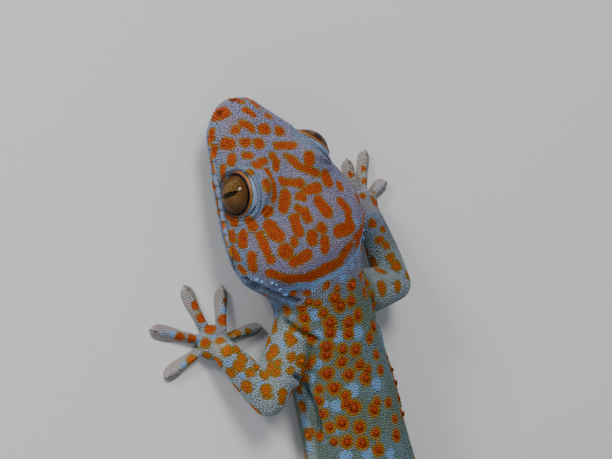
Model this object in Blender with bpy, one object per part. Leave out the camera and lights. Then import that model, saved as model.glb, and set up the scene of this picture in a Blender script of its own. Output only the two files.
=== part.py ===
"""Tokay gecko, life size and still, lying on a floor with its head turned to its own left.

The animal points along -Y, its left side is +X and the floor is z = 0. Sizes in the tables are
millimetres, and a station is the distance back from the tip of the snout along the midline.
"""

import math

import bmesh
import bpy
import numpy as np
from mathutils import Matrix, Vector

MM = 0.001
GAP = 0.3

# Lengths along the midline
NOSE_ROUNDING = 4.5
HEAD_END = 44.0
NECK_END = 54.0
VENT = 152.0
TAIL_CUTS = (200.0, 250.0)
TAIL_END = 302.0
TAIL_ROUNDING = 6.0
ANCHOR = 78.0
ANCHOR_PLACE = (-2.9, 32.25)

# The way the midline turns, in degrees to the left of -Y
HEADING = (
    (0, 27), (7, 24), (14, 20), (22, 17.5), (36, 17.5), (46, 11.5), (56, 8.5), (66, 4.5), (90, 2),
    (110, 0), (130, 2), (152, 8), (180, 20), (215, 22), (250, -2), (280, -30), (302, -42),
)

# Station, half width, height of the back and height of the underside
BODY = (
    (0, 4.6, 10.0, 5.2), (3, 6.1, 11.3, 4.4), (6, 7.4, 12.8, 3.8), (10, 9.4, 14.6, 3.4),
    (13, 10.8, 15.9, 3.2), (18, 12.8, 17.8, 3.1), (24, 14.7, 19.5, 3.0), (29, 15.6, 20.5, 2.8),
    (33, 15.0, 20.6, 2.5), (36, 13.1, 19.9, 2.2), (39, 10.9, 18.8, 1.8), (42, 9.9, 17.9, 1.2),
    (47, 9.8, 16.8, 0.3), (54, 10.2, 16.2, -0.5), (64, 10.7, 15.8, -0.7), (78, 11.4, 16.2, -0.7),
    (95, 12.8, 17.0, -0.7), (112, 13.2, 17.0, -0.7), (128, 11.8, 15.6, -0.7), (140, 9.6, 13.8, -0.6),
    (152, 8.0, 12.0, -0.5), (162, 7.3, 11.0, -0.5), (200, 6.0, 9.0, -0.4), (250, 4.1, 6.2, -0.3),
    (290, 2.0, 3.3, -0.2), (302, 1.2, 2.2, -0.2),
)
WIDEST_LEVEL = ((0, 0.36), (34, 0.36), (46, 0.42), (302, 0.42))
BACK_POWER = ((0, 1.95), (34, 2.05), (48, 2.2), (302, 2.2))
BELLY_POWER = 2.35
RING_SIDES = 26
HEAD_SIDES = 32
TAIL_SIDES = 14

# Eyes, ears, nostrils and mouth
EYE_STATION = 17.0
EYE_RADIUS = 5.1
EYE_OUT = 7.3
EYE_HEIGHT = 12.0
EYE_LIFT = 9.0
EYE_FORWARD = 14.0
ORBIT_RADIUS = 5.9
LID_LENGTH = 4.75
LID_HEIGHT = 4.1
LID_THICKNESS = 0.6
EAR_STATION = 34.0
EAR_ANGLE = 8.0
EAR_SIZE = (1.1, 2.1, 1.6)
NOSTRIL_STATION = 0.9
NOSTRIL_ANGLE = 44.0
NOSTRIL_RADIUS = 0.62
MOUTH_ANGLE = -3.0
MOUTH_CORNER = 28.0
MOUTH_GAP = 0.4
MOUTH_DEPTH = 0.9

# Tubercles: rows on the back and rings on the tail
TUBERCLE_RADIUS = 1.15
TUBERCLE_HEIGHT = 0.85
TUBERCLE_SIDES = 5
ROW_ANGLES = (78, 56, 36, 18)
ROW_PITCH = 6.4
WHORL = 5.6
WHORL_SWELL = 0.05
RING_ANGLES = (62, 22)

# Legs, each from root to middle joint to wrist or ankle to the middle of the foot: left, back, up
LEGS = {
    "foreleg_left": ((7.0, 2.6, 8.6), (16.6, 16.4, 7.2), (22.6, 5.6, 3.9), (23.6, 3.4, 1.7)),
    "foreleg_right": ((-6.5, 0.6, 8.8), (-18.6, 1.0, 7.6), (-18.3, -12.8, 3.9), (-18.6, -15.4, 1.7)),
    "hindleg_left": ((2.8, 94.0, 8.2), (25.0, 83.0, 10.4), (33.0, 101.0, 4.8), (36.0, 105.6, 1.9)),
    "hindleg_right": ((-9.2, 95.0, 8.2), (-29.0, 102.0, 10.4), (-30.5, 121.6, 4.8), (-34.0, 126.4, 1.9)),
}
LEG_RADII = {"fore": (4.6, 3.6, 2.6, 2.2), "hind": (5.2, 3.9, 2.9, 2.5)}
LEG_SIDES = 14
MUSCLE_SWELL = 0.10
PALM_SIZE = {"fore": (3.5, 3.5, 2.0), "hind": (4.1, 4.1, 2.2)}

# Digits of each foot, first to fifth: the way it points in degrees from +X towards +Y, its length, and how
# far its root lies aside of the palm's middle
DIGITS = {
    "foreleg_left": ((180, 12.8, 0), (255, 10.9, -2.4), (286, 12.6, 0), (337, 14.0, 0), (21, 12.4, 0)),
    "foreleg_right": ((352, 9.0, 0), (314, 10.2, 0), (278, 10.2, 0), (251, 11.6, 0), (205, 8.6, 0)),
    "hindleg_left": ((248, 11.0, 0), (290, 13.8, 0), (326, 15.6, 0), (4, 16.0, 0), (58, 14.0, 0)),
    "hindleg_right": ((268, 11.0, 0), (228, 13.8, 0), (192, 15.6, 0), (158, 16.0, 0), (112, 14.0, 0)),
}
PAD_WIDTH = 3.3
FIRST_TOE = 0.82
TOE_WIDTH = 2.2
PAD_THICKNESS = 0.85
TOE_THICKNESS = 1.7
RIDGE_HEIGHT = 0.75
RIDGE_WIDTH = 0.75
DIGIT_SIDES = 10
DIGIT_RINGS = 7
CLAW_LENGTH = 0.9
CLAW_ROOT = 1.3
CLAW_RADIUS = 0.36

SKINS = {
    "head": ((0.30, 0.33, 0.44), 0.55),
    "body": ((0.34, 0.44, 0.44), 0.6),
    "leg": ((0.42, 0.52, 0.54), 0.6),
    "foot": ((0.50, 0.44, 0.38), 0.6),
    "eye": ((0.24, 0.14, 0.05), 0.12),
}


class Profile:
    """A smooth curve through a few (station, value) pairs that never overshoots them."""

    def __init__(self, pairs):
        self.stations, self.values = np.array(pairs, float).T
        rise = np.diff(self.values) / np.diff(self.stations)
        self.slopes = np.zeros(len(self.values))
        self.slopes[[0, -1]] = rise[[0, -1]]
        for i in range(1, len(rise)):
            if rise[i - 1] * rise[i] > 0:
                self.slopes[i] = 2 * rise[i - 1] * rise[i] / (rise[i - 1] + rise[i])

    def __call__(self, station):
        x = np.clip(station, self.stations[0], self.stations[-1])
        i = np.clip(np.searchsorted(self.stations, x) - 1, 0, len(self.stations) - 2)
        span = self.stations[i + 1] - self.stations[i]
        t = (x - self.stations[i]) / span
        near, far = self.values[i], self.values[i + 1]
        bend = t * (1 - t) * span * ((1 - t) * self.slopes[i] - t * self.slopes[i + 1])
        return near + (far - near) * t * t * (3 - 2 * t) + bend


heading = Profile(HEADING)
half_width = Profile([(row[0], row[1]) for row in BODY])
back_height = Profile([(row[0], row[2]) for row in BODY])
underside = Profile([(row[0], row[3]) for row in BODY])
widest_level = Profile(WIDEST_LEVEL)
back_power = Profile(BACK_POWER)


def laid_midline(step=0.5):
    """The midline on the floor: its stations and the (x, y) at each."""
    stations = np.arange(0.0, TAIL_END + step, step)
    turn = np.radians([heading(s) for s in stations])
    back = np.stack([-np.sin(turn), np.cos(turn)], axis=1)
    places = np.vstack([[0.0, 0.0], np.cumsum((back[1:] + back[:-1]) / 2 * step, axis=0)])
    return stations, places - places[int(ANCHOR / step)] + ANCHOR_PLACE


MIDLINE_STATIONS, MIDLINE_PLACES = laid_midline()


def midline(station):
    """(place on the floor, unit vector to the animal's left, unit vector forwards) at a station."""
    x, y = (np.interp(station, MIDLINE_STATIONS, MIDLINE_PLACES[:, i]) for i in range(2))
    turn = math.radians(float(heading(station)))
    left = Vector((math.cos(turn), math.sin(turn), 0))
    forward = Vector((math.sin(turn), -math.cos(turn), 0))
    return Vector((x, y, 0)), left, forward


def end_rounding(station):
    """How much of the section's size is left near the tips of the snout and the tail."""
    from_nose = min(1.0, max(0.0, station) / NOSE_ROUNDING)
    from_tail = min(1.0, max(0.0, TAIL_END - station) / TAIL_ROUNDING)
    return math.sqrt(1 - (1 - from_nose) ** 2) * math.sqrt(1 - (1 - from_tail) ** 2)


def whorl_swell(station):
    """The tail is ringed: each whorl of scales swells towards its rear edge."""
    if station <= VENT:
        return 1.0
    share = ((station - VENT) / WHORL) % 1.0
    return 1 + WHORL_SWELL * (share - 0.5)


def eye_axis(side):
    """(centre of the eyeball, unit vector it looks along); side is 1 for the left eye, -1 for the right."""
    place, left, forward = midline(EYE_STATION)
    centre = place + left * side * EYE_OUT + Vector((0, 0, EYE_HEIGHT))
    lift, ahead = math.radians(EYE_LIFT), math.radians(EYE_FORWARD)
    level = left * side * math.cos(ahead) + forward * math.sin(ahead)
    return centre, (level * math.cos(lift) + Vector((0, 0, math.sin(lift)))).normalized()


def swell_round_eye(point):
    """The orbit stands out round the eyeball, but not over the opening that it looks through."""
    for side in (1, -1):
        centre, axis = eye_axis(side)
        away = point - centre
        distance = away.length
        if distance > 2 * ORBIT_RADIUS or distance < 1e-6:
            continue
        facing = away.dot(axis) / distance
        cover = min(1.0, max(0.0, (0.62 - facing) / 0.22))
        pushed = (distance**8 + ORBIT_RADIUS**8) ** (1 / 8)
        point = centre + away * (1 + cover * (pushed - distance) / distance)
    return point


def skin_point(station, degrees, grow=0.0):
    """A point of the outer surface: 0 degrees is the left flank, 90 the back and 180 the right flank."""
    place, left, _ = midline(station)
    size = end_rounding(station) * whorl_swell(station)
    top, bottom = float(back_height(station)), float(underside(station))
    level = bottom + (top - bottom) * float(widest_level(station))
    angle = math.radians(degrees)
    across, up = math.cos(angle), math.sin(angle)
    power = 2 / (float(back_power(station)) if up > 0 else BELLY_POWER)
    reach = top - level if up > 0 else level - bottom
    x = (float(half_width(station)) * size + grow) * math.copysign(abs(across) ** power, across)
    z = level + (reach * size + grow) * math.copysign(abs(up) ** power, up)
    point = place + left * x + Vector((0, 0, z))
    return swell_round_eye(point) if station < HEAD_END else point


def skin_normal(station, degrees):
    """The outward direction of the surface, from two short steps on it."""
    along = skin_point(station + 0.5, degrees) - skin_point(station - 0.5, degrees)
    around = skin_point(station, degrees + 1) - skin_point(station, degrees - 1)
    return along.cross(around).normalized()


def new_object(name, mesh_maker):
    """A linked object whose mesh mesh_maker fills in millimetres."""
    shape = bmesh.new()
    mesh_maker(shape)
    bmesh.ops.recalc_face_normals(shape, faces=shape.faces[:])
    bmesh.ops.scale(shape, vec=(MM, MM, MM), verts=shape.verts[:])
    mesh = bpy.data.meshes.new(name)
    shape.to_mesh(mesh)
    shape.free()
    made = bpy.data.objects.new(name, mesh)
    bpy.context.scene.collection.objects.link(made)
    return made


def add_loft(shape, rings):
    """A closed skin through rings of equally many points, with flat ends."""
    rows = [[shape.verts.new(point) for point in ring] for ring in rings]
    for row, following in zip(rows, rows[1:]):
        for i in range(len(row)):
            j = (i + 1) % len(row)
            shape.faces.new((row[i], row[j], following[j], following[i]))
    shape.faces.new(reversed(rows[0]))
    shape.faces.new(rows[-1])


def body_rings(stations, sides, grow=0.0):
    return [[skin_point(s, 360 * k / sides, grow) for k in range(sides)] for s in stations]


def evenly(first, last, pitch):
    """Stations from first to last, about pitch apart."""
    count = max(2, round((last - first) / pitch) + 1)
    return [first + (last - first) * i / (count - 1) for i in range(count)]


def head_stations():
    """Close together where the snout rounds off."""
    nose = [NOSE_ROUNDING * (1 - math.cos(math.radians(a))) for a in (14, 30, 46, 62, 78)]
    return nose + evenly(NOSE_ROUNDING, HEAD_END - GAP / 2, 2.2)


def tail_stations(first, last):
    """Two rings a whorl, close on each side of its rear edge, so that the edges show."""
    inner = []
    for i in range(int((first - VENT) / WHORL), int((last - VENT) / WHORL) + 1):
        inner += [VENT + (i + 0.06) * WHORL, VENT + (i + 0.94) * WHORL]
    return [first] + [s for s in inner if first + 0.3 < s < last - 0.3] + [last]


def boolean(target, others, operation, solver="EXACT"):
    """Joins or cuts target with the others, applies it and removes them."""
    group = bpy.data.collections.new(f"{target.name}_{operation.lower()}")
    bpy.context.scene.collection.children.link(group)
    for other in others:
        bpy.context.scene.collection.objects.unlink(other)
        group.objects.link(other)
    modifier = target.modifiers.new(operation.title(), "BOOLEAN")
    modifier.operation = operation
    modifier.operand_type = "COLLECTION"
    modifier.collection = group
    modifier.solver = solver
    bpy.context.view_layer.objects.active = target
    bpy.ops.object.modifier_apply(modifier=modifier.name)
    for other in others:
        bpy.data.objects.remove(other)
    bpy.data.collections.remove(group)
    return target


def cut_by_plane(target, point, normal):
    """Removes what lies on the normal's side of the plane and closes the cut. point is in millimetres."""
    shape = bmesh.new()
    shape.from_mesh(target.data)
    bmesh.ops.bisect_plane(
        shape,
        geom=shape.verts[:] + shape.edges[:] + shape.faces[:],
        dist=1e-7,
        plane_co=Vector(point) * MM,
        plane_no=normal,
        clear_outer=True,
    )
    open_edges = [e for e in shape.edges if e.is_boundary]
    bmesh.ops.holes_fill(shape, edges=open_edges, sides=0)
    bmesh.ops.recalc_face_normals(shape, faces=shape.faces[:])
    shape.to_mesh(target.data)
    shape.free()


def keep_largest(target):
    """Drops every loose piece but the largest, such as a scrap that a cut leaves."""
    shape = bmesh.new()
    shape.from_mesh(target.data)
    shape.verts.ensure_lookup_table()
    seen, islands = set(), []
    for seed in shape.verts:
        if seed.index in seen:
            continue
        island, stack = [], [seed]
        seen.add(seed.index)
        while stack:
            vertex = stack.pop()
            island.append(vertex)
            for edge in vertex.link_edges:
                other = edge.other_vert(vertex)
                if other.index not in seen:
                    seen.add(other.index)
                    stack.append(other)
        islands.append(island)
    islands.sort(key=len)
    scraps = [vertex for island in islands[:-1] for vertex in island]
    bmesh.ops.delete(shape, geom=scraps, context="VERTS")
    shape.to_mesh(target.data)
    shape.free()


def add_tubercle(shape, station, degrees, size):
    """A low cone with a blunt tip, its root sunk in the skin."""
    root, normal = skin_point(station, degrees), skin_normal(station, degrees)
    turn = normal.to_track_quat("Z", "Y").to_matrix()
    radius, height = TUBERCLE_RADIUS * size, TUBERCLE_HEIGHT * size
    rings = []
    for share, rise in ((1.1, -0.5), (0.34, 1.0)):
        ring = []
        for k in range(TUBERCLE_SIDES):
            angle = 2 * math.pi * k / TUBERCLE_SIDES
            spoke = Vector((math.cos(angle), math.sin(angle), 0)) * radius * share
            ring.append(root + turn @ (spoke + Vector((0, 0, height * rise))))
        rings.append(ring)
    add_loft(shape, rings)


def near_leg_root(station, degrees):
    """True where a leg grows from the flank."""
    point = skin_point(station, degrees)
    for joints in LEGS.values():
        root, middle = Vector(joints[0]), Vector(joints[1])
        along = (point - root).dot((middle - root).normalized())
        if (point - root - (middle - root).normalized() * along).length < 6.6 and along > -8:
            return True
    return False


def back_tubercles(first, last):
    """Rows along the back, each other row set half a pitch further on, sizes varied as real ones are."""
    chance = np.random.default_rng(7)

    def fill(shape):
        for row, degrees in enumerate(ROW_ANGLES):
            for side in (degrees, 180 - degrees):
                start = first + ROW_PITCH * (0.35 if row % 2 else 0.85)
                for station in np.arange(start, last - 1.6, ROW_PITCH):
                    shift = float(chance.uniform(-0.7, 0.7))
                    size = float(chance.uniform(0.85, 1.12))
                    if not near_leg_root(station, side):
                        add_tubercle(shape, station + shift, side + shift * 3, size)

    return new_object("tubercles", fill)


def tail_tubercles(first, last):
    """A ring of tubercles near the rear edge of each second whorl, smaller towards the tip."""

    def fill(shape):
        whorl = math.ceil((first - VENT) / WHORL)
        while VENT + (whorl + 0.7) * WHORL < last - 1.5:
            station = VENT + (whorl + 0.66) * WHORL
            size = 0.28 + 0.62 * (TAIL_END - station) / (TAIL_END - VENT)
            for degrees in RING_ANGLES:
                for side in {degrees, 180 - degrees}:
                    if not near_leg_root(station, side):
                        add_tubercle(shape, station, side, size)
            whorl += 1

    return new_object("tubercles", fill)


def add_ball(shape, centre, radii, turn, columns, rows):
    """An ellipsoid: radii are along the turned X, Y and Z."""
    made = bmesh.ops.create_uvsphere(shape, u_segments=columns, v_segments=rows, radius=1.0)
    placed = Matrix.Translation(centre) @ turn.to_4x4() @ Matrix.Diagonal((*radii, 1))
    bmesh.ops.transform(shape, matrix=placed, verts=made["verts"])


def eye_turn(side):
    """The frame of an eye: X along the head, Z the way it looks."""
    _, axis = eye_axis(side)
    forward = midline(EYE_STATION)[2]
    up = axis.cross(forward).normalized()
    along = up.cross(axis).normalized()
    return Matrix((along, up, axis)).transposed()


def eyeball(name, side, radius):
    centre, _ = eye_axis(side)
    return new_object(
        name, lambda shape: add_ball(shape, centre, (radius,) * 3, eye_turn(side), 16, 9)
    )


def eyelid(side):
    """The raised rim round the opening that the eye looks through."""
    centre, axis = eye_axis(side)
    turn = eye_turn(side)
    columns, tube_sides = 20, 5

    def fill(shape):
        rows = []
        for k in range(columns):
            angle = 2 * math.pi * k / columns
            spoke = Vector((LID_LENGTH * math.cos(angle), LID_HEIGHT * math.sin(angle), 0))
            lift = math.sqrt(max(0.0, ORBIT_RADIUS**2 - spoke.length_squared)) - 0.35
            outward = spoke.normalized()
            ring = []
            for j in range(tube_sides):
                around = 2 * math.pi * j / tube_sides
                offset = outward * math.cos(around) + Vector((0, 0, math.sin(around)))
                ring.append(centre + turn @ (spoke + Vector((0, 0, lift)) + offset * LID_THICKNESS))
            rows.append([shape.verts.new(point) for point in ring])
        for i, row in enumerate(rows):
            following = rows[(i + 1) % columns]
            for j in range(tube_sides):
                k = (j + 1) % tube_sides
                shape.faces.new((row[j], row[k], following[k], following[j]))

    return new_object("lid", fill)


def surface_pit(station, degrees, radii):
    """A cutter for an ear or a nostril: an ellipsoid whose middle lies on the skin."""
    normal = skin_normal(station, degrees)
    forward = midline(station)[2]
    up = normal.cross(forward).normalized()
    turn = Matrix((up.cross(normal).normalized(), up, normal)).transposed()
    centre = skin_point(station, degrees)
    return new_object("pit", lambda shape: add_ball(shape, centre, radii, turn, 10, 6))


def mouth_cutter():
    """A thin blade that follows the lips from one corner of the mouth round the snout to the other."""
    stations = [0.25, 0.8, 1.8, 3.2, 5, 8, 12, 16, 20, 24, 26, MOUTH_CORNER]
    sides = [(s, MOUTH_ANGLE) for s in reversed(stations)]
    sides += [(s, 180 - MOUTH_ANGLE) for s in stations]

    def fill(shape):
        rings = []
        for station, degrees in sides:
            rim = skin_point(station, degrees)
            place = midline(station)[0]
            inward = Vector((place.x - rim.x, place.y - rim.y, 0))
            if station < 3.2:
                inward = inward.lerp(-midline(station)[2] * inward.length, 1 - station / 3.2)
            inward = inward.normalized() if inward.length > 1e-6 else -midline(station)[2]
            near, far = rim - inward * 1.6, rim + inward * MOUTH_DEPTH
            half = Vector((0, 0, MOUTH_GAP / 2))
            rings.append([near - half, far - half, far + half, near + half])
        add_loft(shape, rings)

    return new_object("mouth", fill)


def build_head():
    head = new_object(
        "head", lambda shape: add_loft(shape, body_rings(head_stations(), HEAD_SIDES))
    )
    boolean(head, [eyelid(1), eyelid(-1)], "UNION")
    cutters = [eyeball("socket", side, EYE_RADIUS + GAP) for side in (1, -1)]
    for ear, nostril in ((EAR_ANGLE, NOSTRIL_ANGLE), (180 - EAR_ANGLE, 180 - NOSTRIL_ANGLE)):
        cutters.append(surface_pit(EAR_STATION, ear, EAR_SIZE))
        cutters.append(surface_pit(NOSTRIL_STATION, nostril, (NOSTRIL_RADIUS,) * 3))
    cutters.append(mouth_cutter())
    boolean(head, cutters, "DIFFERENCE")
    keep_largest(head)
    return head


def build_trunk_piece(name, first, last, pitch, sides):
    """A length of neck or trunk with its rows of tubercles, flat underneath where it rests."""
    stations = evenly(first + GAP / 2, last - GAP / 2, pitch)
    piece = new_object(name, lambda shape: add_loft(shape, body_rings(stations, sides)))
    boolean(piece, [back_tubercles(first, last)], "UNION")
    cut_by_plane(piece, (0, 0, 0), (0, 0, -1))
    keep_largest(piece)
    return piece


def build_tail_piece(name, first, last):
    stations = tail_stations(first + GAP / 2, last - GAP / 2)
    if last == TAIL_END:
        stations = stations[:-1] + [TAIL_END - 3, TAIL_END - 1.2, TAIL_END - 0.2]
    piece = new_object(name, lambda shape: add_loft(shape, body_rings(sorted(stations), TAIL_SIDES)))
    boolean(piece, [tail_tubercles(first, last)], "UNION")
    cut_by_plane(piece, (0, 0, 0), (0, 0, -1))
    keep_largest(piece)
    return piece


def limb_segment(name, start, end, radii):
    """A tapered length of leg with round ends, fullest in its middle."""
    axis = end - start
    turn = axis.to_track_quat("Z", "Y").to_matrix()
    first, last = radii
    places = [-first * math.cos(math.radians(a)) for a in (12, 38, 64)]
    places += [axis.length * t for t in (0, 0.17, 0.34, 0.5, 0.67, 0.84, 1)]
    places += [axis.length + last * math.sin(math.radians(a)) for a in (26, 52, 78)]
    rings = []
    for along in places:
        share = min(1.0, max(0.0, along / axis.length))
        radius = first + (last - first) * share
        radius *= 1 + MUSCLE_SWELL * math.sin(math.pi * share)
        beyond = max(0.0, -along, along - axis.length)
        radius = math.sqrt(max(0.0, radius**2 - beyond**2))
        ring = []
        for k in range(LEG_SIDES):
            angle = 2 * math.pi * k / LEG_SIDES
            spoke = Vector((math.cos(angle), math.sin(angle), 0)) * radius
            ring.append(start + turn @ (spoke + Vector((0, 0, along))))
        rings.append(ring)
    return new_object(name, lambda shape: add_loft(shape, rings))


def mitre(before, joint, after, near, far):
    """Parts two segments at their joint, on the plane that halves its angle, half a gap off each side."""
    across = ((joint - before).normalized() + (after - joint).normalized()).normalized()
    cut_by_plane(near, joint - across * GAP / 2, across)
    cut_by_plane(far, joint + across * GAP / 2, -across)


def toe_line(palm, degrees, offset):
    """The floor point where a toe starts, the way it points and the way across it."""
    direction = Vector((math.cos(math.radians(degrees)), math.sin(math.radians(degrees)), 0))
    aside = Vector((-direction.y, direction.x, 0))
    return Vector((palm.x, palm.y, 0)) + aside * offset, direction, aside


def add_digit(shape, line, length, widening, depth):
    """A flat toe: narrow at the root, a broad pad further out and a ridge of bone along its top."""
    root, direction, aside = line
    rings = []
    for i in range(DIGIT_RINGS):
        share = 0.02 + 0.98 * math.sin(math.pi / 2 * i / (DIGIT_RINGS - 1)) ** 0.9
        swell = math.exp(-(((share - 0.78) / 0.27) ** 2))
        close = math.sqrt(max(0.0, 1 - max(0.0, (share - 0.9) / 0.103) ** 2))
        half = widening * (TOE_WIDTH + (PAD_WIDTH - TOE_WIDTH) * swell) / 2 * close
        pad = PAD_THICKNESS + (TOE_THICKNESS - PAD_THICKNESS) * (1 - share) ** 1.5
        ridge = RIDGE_HEIGHT * (1 - 0.45 * share) * max(0.25, close)
        centre = root + direction * length * share
        ring = []
        for k in range(DIGIT_SIDES):
            angle = 2 * math.pi * (k + 0.5) / DIGIT_SIDES
            x, rise = half * math.cos(angle), math.sin(angle)
            if rise > 0:
                z = 0.35 + (pad - 0.35) * rise ** 0.7 + ridge * rise * math.exp(-((x / RIDGE_WIDTH) ** 2))
            else:
                z = 0.35 + depth * rise
            ring.append(centre + aside * x + Vector((0, 0, z)))
        rings.append(ring)
    add_loft(shape, rings)


def add_claw(shape, line, length):
    """A small hooked claw over the end of the pad."""
    root, direction, aside = line
    root = root + direction * (length - CLAW_ROOT)
    rings = []
    for share, height, thick in ((0, 0.85, 1.0), (0.45, 1.0, 0.9), (0.75, 0.9, 0.6), (1.0, 0.5, 0.25)):
        centre = root + direction * (CLAW_LENGTH + CLAW_ROOT) * share + Vector((0, 0, height))
        ring = []
        for k in range(5):
            angle = 2 * math.pi * k / 5
            ring.append(
                centre + (aside * math.cos(angle) + Vector((0, 0, math.sin(angle)))) * CLAW_RADIUS * thick
            )
        rings.append(ring)
    add_loft(shape, rings)


def build_foot(name, leg, stub, palm):
    """The palm, its five digits and the claws of all but the first, joined to the wrist."""
    kind = leg[:4]
    pieces = [
        new_object(
            "palm", lambda shape: add_ball(shape, palm, PALM_SIZE[kind], Matrix.Identity(3), 12, 7)
        )
    ]
    for number, (degrees, length, offset) in enumerate(DIGITS[leg]):
        line = toe_line(palm, degrees, offset)
        widening = 1.0 if number else FIRST_TOE
        depth = 0.75 + 0.06 * number
        pieces.append(new_object("digit", lambda shape: add_digit(shape, line, length, widening, depth)))
        if number:
            pieces.append(new_object("claw", lambda shape: add_claw(shape, line, length)))
    stub.name = name
    boolean(stub, pieces, "UNION")
    cut_by_plane(stub, (0, 0, 0), (0, 0, -1))
    keep_largest(stub)
    return stub


def body_cutter():
    """The trunk made a gap wider, which gives each leg a root that fits the flank."""
    stations = evenly(HEAD_END - 6, VENT + 24, 3)
    return new_object("cutter", lambda shape: add_loft(shape, body_rings(stations, RING_SIDES, GAP)))


def build_leg(leg):
    """Three nodes from root to toes: upper leg, lower leg and foot."""
    root, middle, wrist, palm = (Vector(joint) for joint in LEGS[leg])
    radii = LEG_RADII[leg[:4]]
    upper = limb_segment(f"{leg}_upper", root, middle, radii[:2])
    lower = limb_segment(f"{leg}_lower", middle, wrist, radii[1:3])
    stub = limb_segment("stub", wrist, palm, radii[2:])
    mitre(root, middle, wrist, upper, lower)
    mitre(middle, wrist, palm, lower, stub)
    boolean(upper, [body_cutter()], "DIFFERENCE")
    keep_largest(upper)
    foot = build_foot(leg.replace("leg", "foot"), leg, stub, palm)
    return upper, lower, foot


def paint(made, skin):
    """Gives an object its own material."""
    colour, roughness = SKINS[skin]
    material = bpy.data.materials.new(made.name)
    material.use_nodes = True
    shader = material.node_tree.nodes["Principled BSDF"]
    shader.inputs["Base Color"].default_value = (*colour, 1)
    shader.inputs["Roughness"].default_value = roughness
    shader.inputs["Metallic"].default_value = 0.0
    made.data.materials.clear()
    made.data.materials.append(material)
    made.data.shade_smooth()
    made.data.set_sharp_from_angle(angle=math.radians(50))


def centre_on_floor(objects):
    """Moves everything so that the middle of the whole box is over the origin."""
    corners = [made.matrix_world @ vertex.co for made in objects for vertex in made.data.vertices]
    low = [min(corner[i] for corner in corners) for i in range(2)]
    high = [max(corner[i] for corner in corners) for i in range(2)]
    shift = Vector((-(low[0] + high[0]) / 2, -(low[1] + high[1]) / 2, 0))
    for made in objects:
        made.location = shift


def main():
    for old in list(bpy.data.objects):
        bpy.data.objects.remove(old)
    skins = {}
    skins[build_head()] = "head"
    skins[eyeball("eye_left", 1, EYE_RADIUS)] = "eye"
    skins[eyeball("eye_right", -1, EYE_RADIUS)] = "eye"
    skins[build_trunk_piece("neck", HEAD_END, NECK_END, 2.4, RING_SIDES)] = "body"
    skins[build_trunk_piece("torso", NECK_END, VENT, 3.9, RING_SIDES)] = "body"
    tail_ends = (VENT, *TAIL_CUTS, TAIL_END)
    for name, first, last in zip(("base", "middle", "tip"), tail_ends, tail_ends[1:]):
        skins[build_tail_piece(f"tail_{name}", first, last)] = "body"
    for leg in LEGS:
        upper, lower, foot = build_leg(leg)
        skins[upper] = skins[lower] = "leg"
        skins[foot] = "foot"
    for made, skin in skins.items():
        paint(made, skin)
    bpy.context.view_layer.update()
    centre_on_floor(skins)


main()
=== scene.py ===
"""Looks of the tokay gecko: its skin, scales, eyes, feet and claws, and the stage it is seen on.

Shapes are worked out in millimetres in the animal's own frame, as in the part's source: it points along
-Y, its left side is +X, the floor is z = 0, and a station is the distance back from the tip of the snout
along the midline. Sizes that a user would change are metres, in the settings.
"""

import math

import bmesh
import bpy
import numpy as np
from bpy.props import FloatProperty, FloatVectorProperty, IntProperty, PointerProperty
from mathutils import Matrix, Vector
from mathutils.bvhtree import BVHTree


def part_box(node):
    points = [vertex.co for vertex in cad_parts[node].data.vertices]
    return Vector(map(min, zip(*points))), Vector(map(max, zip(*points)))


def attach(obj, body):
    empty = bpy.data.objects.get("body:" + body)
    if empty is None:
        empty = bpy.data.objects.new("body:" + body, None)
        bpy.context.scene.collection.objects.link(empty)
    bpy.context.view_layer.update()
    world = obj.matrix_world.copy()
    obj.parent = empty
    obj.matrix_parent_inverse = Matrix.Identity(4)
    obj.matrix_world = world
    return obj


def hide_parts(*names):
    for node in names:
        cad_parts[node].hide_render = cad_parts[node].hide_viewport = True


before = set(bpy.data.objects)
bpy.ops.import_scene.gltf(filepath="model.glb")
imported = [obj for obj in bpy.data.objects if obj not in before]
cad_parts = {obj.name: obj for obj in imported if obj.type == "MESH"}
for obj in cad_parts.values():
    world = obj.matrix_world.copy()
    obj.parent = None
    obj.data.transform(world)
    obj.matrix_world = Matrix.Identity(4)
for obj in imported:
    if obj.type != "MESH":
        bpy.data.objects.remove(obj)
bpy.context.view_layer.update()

bl_info = {
    "name": "Tokay gecko looks",
    "version": (1, 0, 0),
    "blender": (4, 5, 0),
    "location": "3D View > Sidebar > Gecko",
    "description": "Dresses the plain solids of a tokay gecko in skin, scales, eyes and claws",
    "category": "Object",
}

MM = 0.001
WELD = 1e-4
BODY = "root"

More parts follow.
